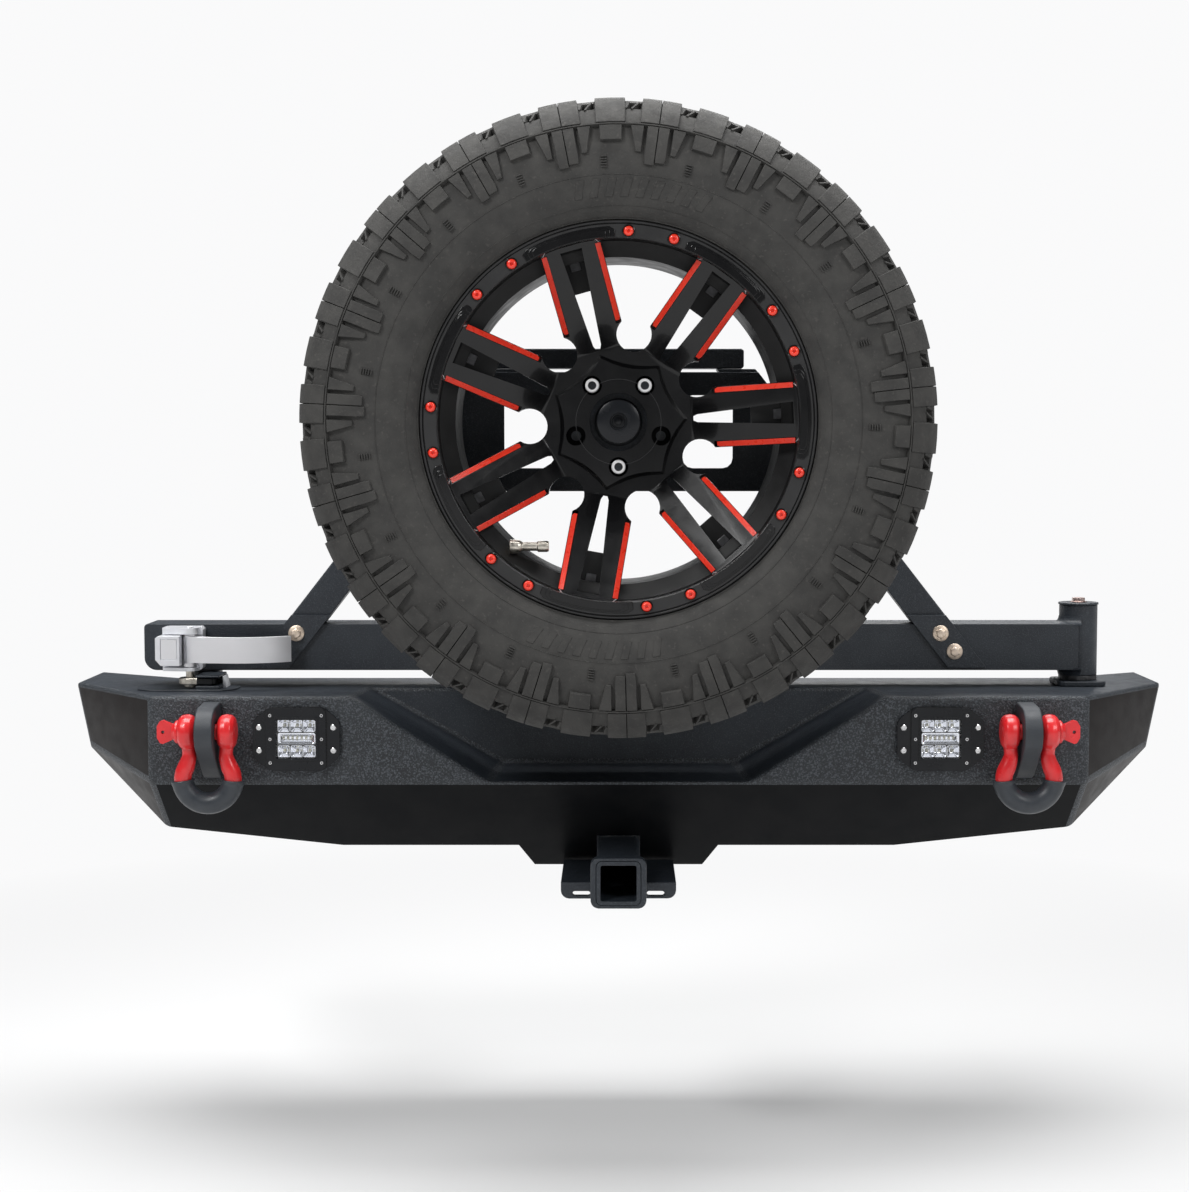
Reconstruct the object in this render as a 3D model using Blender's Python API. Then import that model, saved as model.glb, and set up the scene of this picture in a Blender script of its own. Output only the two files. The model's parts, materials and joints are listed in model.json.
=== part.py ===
"""Swing-out spare tire carrier on a plate-steel rear bumper, loaded with its spare wheel.

Metres, +Z up. +Y points forwards, into the vehicle, and -X is the vehicle's left as seen from behind.
The origin is the centre of the crossmember plate's mounting face, the face that bolts to the vehicle.
The carrier's arm swings on a vertical spindle at +X and is held by a lever latch at -X.
"""

import math

import bmesh
import bpy
import numpy as np
from mathutils import Matrix, Vector

GAP = 0.0003  # between neighbouring pieces
PLATE = 0.0048  # bumper plate thickness

# Bumper skin: heights of its creases, depths of its faces and half widths of its corners.
TOP_Z = 0.176
CREASE_Z = 0.049
LEDGE_Z = 0.060
HEM_Z = -0.064
TAB_Z = -0.100
FACE_Y = -0.250
RECESS_Y = -0.130
FLANK_X = 0.690
RECESS_TOP_X = 0.396
RECESS_FOOT_X = 0.192
TIP_X = 0.845
TIP_Y = -0.065
WING_BACK_Y = 0.090
WING_FOOT_Z = 0.084
LOWER_SLOPE = 1.13  # fall of the lower panel for each metre that it runs forwards

# What the skin is built on.
BRACKET_THICK = 0.006
CROSSMEMBER_X, CROSSMEMBER_TOP_Z, CROSSMEMBER_FOOT_Z = 0.300, 0.115, -0.085
TONGUE_X, TONGUE_FOOT_Z = 0.110, -0.115
CENTRE_RIB_X, CENTRE_RIB_Y, CENTRE_RIB_TOP_Z, CENTRE_RIB_FOOT_Z = 0.200, -0.232, 0.044, -0.060
BRACKET_X, BRACKET_WIDE, BRACKET_FOOT_Z, BRACKET_TOP_Z = 0.420, 0.120, -0.020, 0.120
BRACKET_RIB_Y, BRACKET_RIB_TOP_Z = -0.200, 0.165

# Hitch receiver.
RECEIVER_Z = -0.080
RECEIVER_OUT = 0.0635
RECEIVER_IN = 0.0516
RECEIVER_MOUTH_Y = -0.360
COLLAR_X, COLLAR_Z, COLLAR_LENGTH = 0.080, 0.073, 0.020
HITCH_PIN_Y, HITCH_PIN_R = -0.270, 0.0080
CHAIN_PLATE_X, CHAIN_PLATE_Y = 0.084, (-0.300, -0.128)
CHAIN_PLATE_FOOT_Z, CHAIN_PLATE_TOP_Z = -0.1005, -0.0905
CHAIN_LIP_FOOT_Z, CHAIN_LIP_THICK = -0.1145, 0.0105
CHAIN_SLOT_X, CHAIN_SLOT_Z = (0.041, 0.067), (-0.1105, -0.1035)

# Swing arm, spindle and frame.
SPINDLE = Vector((0.710, -0.0875, 0.0))
ARM_Z, ARM_TALL, ARM_DEEP, ARM_WALL = 0.237, 0.071, 0.075, 0.005
ARM_LEFT_X, ARM_RIGHT_X = -0.7195, 0.700
ARM_FRONT_Y = SPINDLE.y - ARM_DEEP / 2
SLEEVE_R, SLEEVE_BORE_R = 0.0290, 0.0247
SHAFT_R, BEARING_R, BEARING_BORE_R = 0.0193, 0.0244, 0.0196
SLEEVE_LOW_Z, SLEEVE_HIGH_Z = 0.192, 0.300
SHAFT_LOW_Z, BEARING_TALL, THREAD_R, THREAD_DEPTH = 0.105, 0.025, 0.0064, 0.037
BASE_X, BASE_Y, BASE_THICK = 0.074, 0.078, 0.008
CAP_THICK, BOLT_R, BOLT_HEAD_R, BOLT_HEAD = 0.003, 0.0060, 0.0105, 0.007
LEG_X_AT_ARM, LEG_LEAN, LEG_WIDE = 0.4797, 0.78, 0.059
LEG_LOW_Z, LEG_HIGH_Z = 0.2731, 0.660
FOOT_LOW_Z, FOOT_HIGH_Z, FOOT_THICK = 0.2057, 0.2865, 0.006
FOOT_BOLT_Z = (0.2586, 0.2308)
LEG_DEEP, LEG_WALL = 0.040, 0.006
MOUNT_LOW_Z, MOUNT_HIGH_Z, MOUNT_THICK = 0.475, 0.655, 0.006
MOUNT_WINDOW_X, MOUNT_WINDOW_WIDE, MOUNT_WINDOW_Z = 0.135, 0.076, (0.510, 0.620)
CROSSBAR_X, CROSSBAR_Z, CROSSBAR_DEEP = 0.190, (0.6605, 0.6905), 0.035
STAND_OFF, FLANGE_R, FLANGE_THICK, STUD_R = 0.076, 0.094, 0.012, 0.00635
POST_R, POST_LENGTH, POST_BUTTON_R, POST_BUTTON_DEEP = 0.030, 0.071, 0.0115, 0.010

# Spare wheel, a 35 x 12.5 inch tire on a 20 x 9 inch rim, five studs on a 5 inch circle.
WHEEL_Z = 0.577
WHEEL_MID_Y = -0.319
# Half of the tire's section, as (radius, half width): its outside, and the liner inside it.
TIRE_SECTION = ((0.4425, 0.118), (0.430, 0.138), (0.400, 0.152), (0.345, 0.158), (0.292, 0.150))
TIRE_LINER = ((0.300, 0.138), (0.345, 0.146), (0.396, 0.138), (0.420, 0.112))
RIM_R, SEAT_R, BEAD_R = 0.271, 0.254, 0.2716
LIP_Y, HUB_FACE_Y, MOUNT_FACE_Y = -0.450, -0.326, -0.308
HUB_R, BORE_R = 0.096, 0.039
STUD_CIRCLE_R = 0.0635
LUG_ANGLES = [270, 342, 54, 126, 198]
USED_LUGS = [270, 54, 126]
SPOKE_PAIRS, SPOKE_START_DEG = 7, 2.8
SPOKE_WIDE, PAIR_WIDE = 0.028, 0.085
LUG_RECESS_R, LUG_HOLE_R, LUG_SEAT_Y = 0.0140, 0.0072, -0.3160

# Shackles, lights and latch.
TAB_X, TAB_THICK, TAB_NOSE_R = 0.598, 0.026, 0.037
TAB_TOP_Z, TAB_FOOT_Z, TAB_CHIN_Z, TAB_CHIN_Y = 0.168, 0.054, 0.060, -0.262
PIN_Y, PIN_Z, PIN_R = -0.288, 0.1285, 0.012
BOW_R, EAR_R, EAR_THICK, EAR_X = 0.0113, 0.024, 0.023, 0.0288
BOW_WIDE, BOW_DROP = 0.0368, -0.068
ISOLATOR_R = 0.0155
LIGHT_X, LIGHT_Z = 0.474, 0.1135
LIGHT_WINDOW, LIGHT_CAN, LIGHT_MOUTH_X, LIGHT_MOUTH_Z = 0.0375, 0.036, 0.0290, 0.0285
LIGHT_PROUD, LIGHT_DEEP, LENS_SET_BACK, LENS_THICK = 0.009, 0.058, 0.003, 0.003
LATCH = Vector((-0.648, -0.160, 0.0))  # axis of the handle and its shaft
KNUCKLE_R, KNUCKLE_Z, LATCH_SHAFT_R = 0.0112, (0.2102, 0.2598), 0.0060
HANDLE_BOW = (-0.5765, -0.0550, 0.1290)  # centre and radius of the lever's curve, seen from above
HANDLE_THICK, HANDLE_Z = 0.009, (0.2175, 0.2565)
LOCK_BLOCK_Z, LOCK_COVER_X, LOCK_COVER_Z = (0.2120, 0.2600), (-0.6875, -0.6655), (0.2195, 0.2520)
CLAW_Z, CLAW_EYE_R, CLAW_REACH, CLAW_SPREAD = (0.1845, 0.1945), 0.0145, 0.0400, 24
STRIKER_X, STRIKER_Y, STRIKER_TOP_Z = (-0.636, -0.600), (-0.182, -0.112), 0.1990
STRIKER_SLOT_Z, STRIKER_SLOT_END_Y = (0.1832, 0.1958), -0.134
PAD_X, PAD_HALF_Y = (-0.6535, -0.6155), 0.0238

MATERIALS = {
    "powder_black": ((0.025, 0.028, 0.033), 0.55, 0.3),
    "wheel_black": ((0.008, 0.008, 0.009), 0.3, 0.2),
    "red_paint": ((0.75, 0.02, 0.01), 0.3, 0.0),
    "tyre": ((0.03, 0.028, 0.026), 0.85, 0.0),
    "rubber": ((0.02, 0.022, 0.025), 0.7, 0.0),
    "zinc": ((0.75, 0.6, 0.4), 0.3, 1.0),
    "steel": ((0.6, 0.6, 0.6), 0.35, 1.0),
    "cast_aluminium": ((0.8, 0.8, 0.82), 0.35, 1.0),
    "bronze": ((0.6, 0.4, 0.2), 0.4, 1.0),
    "plastic_black": ((0.02, 0.02, 0.021), 0.5, 0.0),
    "lens": ((0.85, 0.87, 0.9), 0.05, 0.0),
}


# ---------------------------------------------------------------- building blocks


def clear_scene():
    for obj in list(bpy.data.objects):
        bpy.data.objects.remove(obj)


def make_materials():
    for name, (colour, roughness, metallic) in MATERIALS.items():
        material = bpy.data.materials.new(name)
        material.use_nodes = True
        shader = material.node_tree.nodes["Principled BSDF"]
        shader.inputs["Base Color"].default_value = (*colour, 1.0)
        shader.inputs["Roughness"].default_value = roughness
        shader.inputs["Metallic"].default_value = metallic


def empty(name, at, parent=None):
    obj = bpy.data.objects.new(name, None)
    bpy.context.scene.collection.objects.link(obj)
    obj.location = Vector(at) - (parent.location if parent else Vector())
    obj.parent = parent
    return obj


def finish(name, bm, parent, material):
    """Turns a bmesh in world coordinates into a named object that hangs on its body's empty."""
    bmesh.ops.recalc_face_normals(bm, faces=bm.faces)
    mesh = bpy.data.meshes.new(name)
    bm.to_mesh(mesh)
    bm.free()
    obj = bpy.data.objects.new(name, mesh)
    bpy.context.scene.collection.objects.link(obj)
    if parent is None:
        obj.hide_render = True
        obj.display_type = "WIRE"
        return obj
    pivot = parent.location + (parent.parent.location if parent.parent else Vector())
    mesh.transform(Matrix.Translation(-pivot))
    obj.parent = parent
    mesh.materials.append(bpy.data.materials[material])
    mesh.shade_smooth()
    mesh.set_sharp_from_angle(angle=math.radians(35))
    return obj


AXES = {  # where an outline's two numbers and its height go
    "X": lambda u, v, h: Vector((h, u, v)),
    "Y": lambda u, v, h: Vector((u, h, v)),
    "Z": lambda u, v, h: Vector((u, v, h)),
}


def bridge(bm, first, second):
    count = len(first)
    for i in range(count):
        j = (i + 1) % count
        bm.faces.new((first[i], first[j], second[j], second[i]))


def prism(name, outline, axis, low, high, parent=None, material=None, shift=(0, 0)):
    """An outline extruded along an axis. shift leans it, so that its far end moves sideways."""
    bm = bmesh.new()
    place = AXES[axis]
    near = [bm.verts.new(place(u, v, low)) for u, v in outline]
    far = [bm.verts.new(place(u + shift[0], v + shift[1], high)) for u, v in outline]
    bm.faces.new(near)
    bm.faces.new(far)
    bridge(bm, near, far)
    return finish(name, bm, parent, material)


def hollow_prism(name, outer, inner, axis, low, high, parent, material):
    """A tube between two outlines that have the same number of points."""
    bm = bmesh.new()
    place = AXES[axis]
    loops = [
        [bm.verts.new(place(u, v, h)) for u, v in outline]
        for outline, h in ((outer, low), (outer, high), (inner, high), (inner, low))
    ]
    for first, second in zip(loops, loops[1:] + loops[:1]):
        bridge(bm, first, second)
    return finish(name, bm, parent, material)


def turned(name, profile, axis, centre, parent=None, material=None, steps=32, loop=True):
    """A profile of (radius, height) points turned about an axis. A third item of True makes a hexagon."""
    bm = bmesh.new()
    place = AXES[axis]
    centre = Vector(centre)
    rings = []
    for radius, height, *hexagonal in profile:
        if radius == 0:
            rings.append([bm.verts.new(centre + place(0, 0, height))])
            continue
        ring = []
        for i in range(steps):
            angle = 2 * math.pi * i / steps
            reach = radius
            if hexagonal:
                off_flat = (angle + math.pi / 6) % (math.pi / 3) - math.pi / 6
                reach = radius * math.cos(math.pi / 6) / math.cos(off_flat)
            at = place(reach * math.cos(angle), reach * math.sin(angle), height)
            ring.append(bm.verts.new(centre + at))
        rings.append(ring)
    pairs = zip(rings, rings[1:] + rings[:1]) if loop else zip(rings, rings[1:])
    for first, second in pairs:
        if len(first) == 1 and len(second) == 1:
            continue
        if len(first) == 1 or len(second) == 1:
            tip, ring = (first[0], second) if len(first) == 1 else (second[0], first)
            for i in range(steps):
                bm.faces.new((tip, ring[i], ring[(i + 1) % steps]))
        else:
            bridge(bm, first, second)
    return finish(name, bm, parent, material)


def rod(name, axis, centre, radius, low, high, parent=None, material=None, steps=24):
    profile = [(0, low), (radius, low), (radius, high), (0, high)]
    return turned(name, profile, axis, centre, parent, material, steps, loop=False)


def rectangle(u0, v0, u1, v1):
    return [(u0, v0), (u1, v0), (u1, v1), (u0, v1)]


def rounded(u0, v0, u1, v1, radius, steps=3):
    """A rectangle with round corners."""
    points = []
    corners = ((u1 - radius, v1 - radius, 0), (u0 + radius, v1 - radius, 90))
    corners += ((u0 + radius, v0 + radius, 180), (u1 - radius, v0 + radius, 270))
    for u, v, start in corners:
        for i in range(steps + 1):
            angle = math.radians(start + 90 * i / steps)
            points.append((u + radius * math.cos(angle), v + radius * math.sin(angle)))
    return points


def square(u, v, half_u, half_v, radius, steps=2):
    """A rectangle with round corners about its middle."""
    return rounded(u - half_u, v - half_v, u + half_u, v + half_v, radius, steps)


def arc(u, v, radius, start, end, steps):
    """Points along an arc, in degrees from the outline's first axis."""
    angles = [math.radians(start + (end - start) * i / steps) for i in range(steps + 1)]
    return [(u + radius * math.cos(a), v + radius * math.sin(a)) for a in angles]


def boolean(target, tool, operation):
    modifier = target.modifiers.new(operation.lower(), "BOOLEAN")
    modifier.operation = operation
    modifier.object = tool
    return modifier


def cut(target, *tools):
    for tool in tools:
        boolean(target, tool, "DIFFERENCE")


def weld(target, *tools):
    for tool in tools:
        boolean(target, tool, "UNION")


def boolean_group(target, name, tools, operation):
    """One Boolean with several helpers at once, which may overlap each other."""
    group = bpy.data.collections.new(name)
    bpy.context.scene.collection.children.link(group)
    for tool in tools:
        bpy.context.scene.collection.objects.unlink(tool)
        group.objects.link(tool)
    modifier = target.modifiers.new(name, "BOOLEAN")
    modifier.operation = operation
    modifier.operand_type = "COLLECTION"
    modifier.collection = group


def sweep(name, path, radii, sides, parent=None, material=None):
    """A round bar along a path in the XZ plane. radii is (radius,), or (outer, inner) for a sleeve."""
    bm = bmesh.new()
    depth = Vector((0, 1, 0))
    loops = [[] for _ in radii]
    for i, point in enumerate(path):
        ahead = path[min(i + 1, len(path) - 1)] - path[max(i - 1, 0)]
        across = Vector((ahead.z, 0, -ahead.x)).normalized()
        for loop, radius in zip(loops, radii):
            ring = []
            for k in range(sides):
                angle = 2 * math.pi * k / sides
                out = math.cos(angle) * across + math.sin(angle) * depth
                ring.append(bm.verts.new(point + radius * out))
            loop.append(ring)
    for rings in loops:
        for first, second in zip(rings, rings[1:]):
            bridge(bm, first, second)
    for end in (0, -1):
        if len(loops) == 1:
            bm.faces.new(loops[0][end])
        else:
            bridge(bm, loops[0][end], loops[1][end])
    return finish(name, bm, parent, material)


# ---------------------------------------------------------------- bumper skin


def lower_y(z):
    """Where the lower panel's outside is at a height."""
    return FACE_Y + (CREASE_Z - z) / LOWER_SLOPE


def skin_corners():
    """The skin's corners, by name. A name ends in + on the right and - on the left."""
    wing = Vector((TIP_X - FLANK_X, TIP_Y - FACE_Y, 0))
    foot = Vector((FLANK_X, FACE_Y, WING_FOOT_Z)) + 0.82 * wing
    notch_x = RECEIVER_OUT / 2 + 0.0012
    notch_z = RECEIVER_Z + RECEIVER_OUT / 2 + 0.0018
    right = {
        "flank_top": (FLANK_X, FACE_Y, TOP_Z),
        "flank_foot": (FLANK_X, FACE_Y, CREASE_Z),
        "recess_top": (RECESS_TOP_X, FACE_Y, TOP_Z),
        "recess_foot": (RECESS_FOOT_X, FACE_Y, CREASE_Z),
        "inner_top": (RECESS_TOP_X - 0.014, RECESS_Y, TOP_Z),
        "inner_foot": (RECESS_FOOT_X - 0.015, RECESS_Y, LEDGE_Z),
        "tip": (TIP_X, TIP_Y, TOP_Z),
        "tip_back": (TIP_X, WING_BACK_Y, TOP_Z),
        "deck_back": (0.700, 0.0, TOP_Z),
        "wing_foot": foot,
        "wing_foot_back": (foot.x, WING_BACK_Y, WING_FOOT_Z),
        "hem_end": (0.682, lower_y(-0.030), -0.030),
        "hem": (0.420, lower_y(HEM_Z), HEM_Z),
        "tab_top": (0.152, lower_y(HEM_Z), HEM_Z),
        "tab_foot": (0.129, lower_y(TAB_Z), TAB_Z),
        "notch_foot": (notch_x, lower_y(TAB_Z), TAB_Z),
        "notch_top": (notch_x, lower_y(notch_z), notch_z),
    }
    corners = {}
    for name, (x, y, z) in right.items():
        corners[name + "+"] = Vector((x, y, z))
        corners[name + "-"] = Vector((-x, y, z))
    return corners


def right_and_left(names):
    """A face on the right and its mirror image on the left, both anticlockwise from outside."""
    right = [n + "+" for n in names]
    return right, [n + "-" for n in reversed(names)]


def skin_faces():
    """Each plate's faces, as rings of corner names, anticlockwise from outside."""
    flank = right_and_left(["recess_foot", "flank_foot", "flank_top", "recess_top"])
    side = right_and_left(["recess_foot", "recess_top", "inner_top", "inner_foot"])
    wing = right_and_left(["flank_foot", "wing_foot", "tip", "flank_top"])
    under = right_and_left(["flank_foot", "hem_end", "wing_foot"])
    end = right_and_left(["wing_foot", "wing_foot_back", "tip_back", "tip"])
    deck = ["inner_top", "recess_top", "flank_top", "tip", "tip_back", "deck_back"]
    lower = ["notch_top", "notch_foot", "tab_foot", "tab_top", "hem", "hem_end"]
    lower += ["flank_foot", "recess_foot"]
    back = ["inner_foot-", "inner_foot+", "inner_top+", "inner_top-"]
    ledge = ["recess_foot-", "recess_foot+", "inner_foot+", "inner_foot-"]
    return {
        "top_plate": [sum(right_and_left(deck), [])],
        "lower_panel": [sum(right_and_left(lower), [])],
        "recess_panel": [back, ledge, side[0], side[1]],
        "flank_plate_right": [flank[0]],
        "flank_plate_left": [flank[1]],
        "wing_plate_right": [wing[0], under[0], end[0]],
        "wing_plate_left": [wing[1], under[1], end[1]],
    }


def face_normal(ring, corners):
    """Newell's normal, which holds for any flat polygon."""
    total = Vector()
    for here, there in zip(ring, ring[1:] + ring[:1]):
        total += corners[here].cross(corners[there])
    return total.normalized()


def solve(rows, values):
    found = np.linalg.lstsq(np.array([list(r) for r in rows]), np.array(values), rcond=None)[0]
    return Vector(found)


def bumper_skin(parent):
    """Flat and bent plates with mitred edges that meet with a small gap."""
    corners = skin_corners()
    plates = skin_faces()
    normals = {}
    for rings in plates.values():
        for ring in rings:
            for name in ring:
                normals.setdefault(name, []).append(face_normal(ring, corners))
    inward = {n: solve(found, [-PLATE] * len(found)) for n, found in normals.items()}
    made = {}
    for plate, rings in plates.items():
        edges = [(a, b) for ring in rings for a, b in zip(ring, ring[1:] + ring[:1])]
        rim = [e for e in edges if (e[1], e[0]) not in edges]
        bm = bmesh.new()
        outer, inner = {}, {}
        for name in sorted({n for ring in rings for n in ring}):
            rows, values = [], []
            for ring in rings:
                if name in ring:
                    rows.append(face_normal(ring, corners))
                    values.append(0.0)
            for ring in rings:
                normal = face_normal(ring, corners)
                for a, b in zip(ring, ring[1:] + ring[:1]):
                    if (a, b) in rim and name in (a, b):
                        rows.append(normal.cross((corners[b] - corners[a]).normalized()))
                        values.append(GAP)
            back_off = solve(rows, values)
            outer[name] = bm.verts.new(corners[name] + back_off)
            inner[name] = bm.verts.new(corners[name] + back_off + inward[name])
        for ring in rings:
            bm.faces.new([outer[n] for n in ring])
            bm.faces.new([inner[n] for n in reversed(ring)])
        for a, b in rim:
            # Two neighbours split the mitre between them along the same diagonal.
            if a < b:
                bm.faces.new((outer[b], outer[a], inner[b]))
                bm.faces.new((outer[a], inner[a], inner[b]))
            else:
                bm.faces.new((outer[b], outer[a], inner[a]))
                bm.faces.new((outer[b], inner[a], inner[b]))
        made[plate] = finish(plate, bm, parent, "powder_black")
    spindle_hole = rod("spindle_hole", "Z", SPINDLE, SHAFT_R + 0.0004, TOP_Z - 0.02, TOP_Z + 0.02)
    cut(made["top_plate"], spindle_hole)
    for side, name in ((1, "right"), (-1, "left")):
        window = square(side * LIGHT_X, LIGHT_Z, LIGHT_WINDOW, LIGHT_WINDOW, 0.006)
        tool = prism("light_window_" + name, window, "Y", FACE_Y - 0.02, FACE_Y + 0.02)
        cut(made["flank_plate_" + name], tool)


# ---------------------------------------------------------------- what the skin is built on


def brackets(parent):
    right = [(TONGUE_X, TONGUE_FOOT_Z), (TONGUE_X, CROSSMEMBER_FOOT_Z), (CROSSMEMBER_X, CROSSMEMBER_FOOT_Z)]
    right += [(CROSSMEMBER_X, CROSSMEMBER_TOP_Z)]
    outline = right + [(-x, z) for x, z in reversed(right)]
    plate = prism("crossmember_plate", outline, "Y", -BRACKET_THICK, 0.0, parent, "powder_black")
    half = BRACKET_THICK / 2
    front_foot_y = lower_y(CENTRE_RIB_FOOT_Z) + 0.009
    rib = [(-half, CENTRE_RIB_FOOT_Z), (-half, CENTRE_RIB_TOP_Z), (CENTRE_RIB_Y, CENTRE_RIB_TOP_Z - 0.004)]
    rib += [(front_foot_y, CENTRE_RIB_FOOT_Z)]
    for x in (-CENTRE_RIB_X, CENTRE_RIB_X):
        weld(plate, prism("centre_rib", rib, "X", x - half, x + half))
    for side, name in ((1, "right"), (-1, "left")):
        x = side * BRACKET_X
        face = rectangle(x - BRACKET_WIDE / 2, BRACKET_FOOT_Z, x + BRACKET_WIDE / 2, BRACKET_TOP_Z)
        bracket = prism("frame_bracket_" + name, face, "Y", -BRACKET_THICK, 0.0, parent, "powder_black")
        edge = rectangle(x - half, 0.0, x + half, BRACKET_RIB_TOP_Z)
        weld(bracket, prism("bracket_rib", edge, "Y", BRACKET_RIB_Y, -half))


def receiver(parent):
    half_out, half_in = RECEIVER_OUT / 2, RECEIVER_IN / 2
    outer = square(0, RECEIVER_Z, half_out, half_out, 0.008, 3)
    inner = square(0, RECEIVER_Z, half_in, half_in, 0.003, 3)
    mouth, back = RECEIVER_MOUTH_Y, -BRACKET_THICK - 0.0005
    tube = hollow_prism("receiver_tube", outer, inner, "Y", mouth, back, parent, "powder_black")
    pin_at = (0, HITCH_PIN_Y, RECEIVER_Z + 0.004)
    cut(tube, rod("hitch_pin_hole", "X", pin_at, HITCH_PIN_R, -0.06, 0.06, steps=16))
    around = square(0, RECEIVER_Z, half_out + GAP, half_out + GAP, 0.0083, 3)
    collar = square(0, RECEIVER_Z, COLLAR_X / 2, COLLAR_Z / 2, 0.011, 3)
    hollow_prism("receiver_collar", collar, around, "Y", mouth, mouth + COLLAR_LENGTH, parent, "powder_black")
    for side, name in ((1, "right"), (-1, "left")):
        chain_plate(side, name, parent)


def chain_plate(side, name, parent):
    """A flat bar beside the receiver, with a lip at its rear end that is slotted for a safety chain."""
    front, back = CHAIN_PLATE_Y
    inside, outside = side * (RECEIVER_OUT / 2 + GAP + 0.0002), side * CHAIN_PLATE_X
    low, high = sorted((inside, outside))
    bar = rectangle(low, CHAIN_PLATE_FOOT_Z, high, CHAIN_PLATE_TOP_Z)
    plate = prism("chain_plate_" + name, bar, "Y", front, back, parent, "powder_black")
    corner_r = 0.012
    corner = arc(CHAIN_PLATE_X - corner_r, CHAIN_LIP_FOOT_Z + corner_r, corner_r, -90, 0, 4)
    lip = [(inside, CHAIN_PLATE_TOP_Z), (inside, CHAIN_LIP_FOOT_Z), *[(side * u, v) for u, v in corner]]
    lip += [(outside, CHAIN_PLATE_TOP_Z)]
    weld(plate, prism("chain_lip_" + name, lip, "Y", front - GAP, front + CHAIN_LIP_THICK))
    slot_low, slot_high = sorted(side * x for x in CHAIN_SLOT_X)
    slot = rounded(slot_low, CHAIN_SLOT_Z[0], slot_high, CHAIN_SLOT_Z[1], 0.003, 2)
    tool = prism("chain_slot_" + name, slot, "Y", front - 0.01, front + CHAIN_LIP_THICK + 0.001)
    cut(plate, tool)


def shackle_tabs(parent):
    nose = arc(PIN_Y, PIN_Z, TAB_NOSE_R, 100, 215, 9)
    outline = [(FACE_Y - GAP, TAB_TOP_Z), *nose, (TAB_CHIN_Y, TAB_CHIN_Z), (FACE_Y - GAP, TAB_FOOT_Z)]
    for side, name in ((1, "right"), (-1, "left")):
        low, high = side * TAB_X - TAB_THICK / 2, side * TAB_X + TAB_THICK / 2
        tab = prism("shackle_tab_" + name, outline, "X", low, high, parent, "powder_black")
        cut(tab, rod("tab_hole_" + name, "X", (0, PIN_Y, PIN_Z), PIN_R + 0.0015, low - 0.01, high + 0.01))


def light_outline(x):
    """The flange: a rectangle whose corners are cut off."""
    wide, flat, tall, waist = 0.064, 0.036, 0.048, 0.024
    right = [(flat, -tall), (wide, -waist), (wide, waist), (flat, tall)]
    points = right + [(-u, v) for u, v in reversed(right)]
    return [(x + u, LIGHT_Z + v) for u, v in points]


def lights(parent):
    """Flush lights: a cast body whose flange sits on the flank, and a lens in its mouth."""
    for side, name in ((1, "right"), (-1, "left")):
        x = side * LIGHT_X
        front = FACE_Y - LIGHT_PROUD
        lens_y = front + LENS_SET_BACK
        outline = light_outline(x)
        body = prism("light_body_" + name, outline, "Y", front, FACE_Y - GAP, parent, "plastic_black")
        can = square(x, LIGHT_Z, LIGHT_CAN, LIGHT_CAN, 0.005)
        weld(body, prism("light_can_" + name, can, "Y", lens_y, FACE_Y + LIGHT_DEEP))
        mouth = square(x, LIGHT_Z, LIGHT_MOUTH_X, LIGHT_MOUTH_Z, 0.002, 1)
        cut(body, prism("light_mouth_" + name, mouth, "Y", front - 0.01, FACE_Y + LIGHT_DEEP / 2))
        glass = square(x, LIGHT_Z, LIGHT_MOUTH_X - 0.0004, LIGHT_MOUTH_Z - 0.0004, 0.002, 1)
        prism("light_lens_" + name, glass, "Y", lens_y, lens_y + LENS_THICK, parent, "lens")


def sleeve_profile(inner, outer, low, high):
    return [(inner, low), (outer, low), (outer, high), (inner, high)]


def spindle(parent):
    """The post that the arm swings on, with its doubler plate and thrust washer."""
    base = square(SPINDLE.x, SPINDLE.y, BASE_X / 2, BASE_Y / 2, 0.01)
    plate = prism("spindle_base_plate", base, "Z", TOP_Z + GAP, TOP_Z + BASE_THICK, parent, "powder_black")
    cut(plate, rod("base_hole", "Z", SPINDLE, SHAFT_R + 0.0004, TOP_Z - 0.02, TOP_Z + 0.02))
    top = SLEEVE_HIGH_Z - 0.0010
    thread_foot = top - THREAD_DEPTH
    shaft = [(0, SHAFT_LOW_Z), (SHAFT_R, SHAFT_LOW_Z), (SHAFT_R, top), (THREAD_R, top)]
    shaft += [(THREAD_R, thread_foot), (0, thread_foot)]
    turned("spindle_shaft", shaft, "Z", SPINDLE, parent, "steel", 28, loop=False)
    washer = sleeve_profile(BEARING_BORE_R, SLEEVE_R, TOP_Z + BASE_THICK + GAP, SLEEVE_LOW_Z - GAP)
    turned("thrust_washer", washer, "Z", SPINDLE, parent, "bronze", 28)


def striker(parent):
    """The block on the deck that the latch claw turns into, and the rubber pad under the closed arm."""
    foot_z = TOP_Z + GAP
    front, back = STRIKER_Y
    slot_low, slot_high = STRIKER_SLOT_Z
    slotted = [(front, foot_z), (back, foot_z), (back - 0.008, STRIKER_TOP_Z), (front, STRIKER_TOP_Z)]
    slotted += [(front, slot_high), (STRIKER_SLOT_END_Y, slot_high)]
    slotted += [(STRIKER_SLOT_END_Y, slot_low), (front, slot_low)]
    prism("latch_striker", slotted, "X", *STRIKER_X, parent, "powder_black")
    pad = rounded(PAD_X[0], SPINDLE.y - PAD_HALF_Y, PAD_X[1], SPINDLE.y + PAD_HALF_Y, 0.008)
    prism("arm_rest_pad", pad, "Z", foot_z, STRIKER_TOP_Z, parent, "rubber")


# ---------------------------------------------------------------- swing arm


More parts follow.
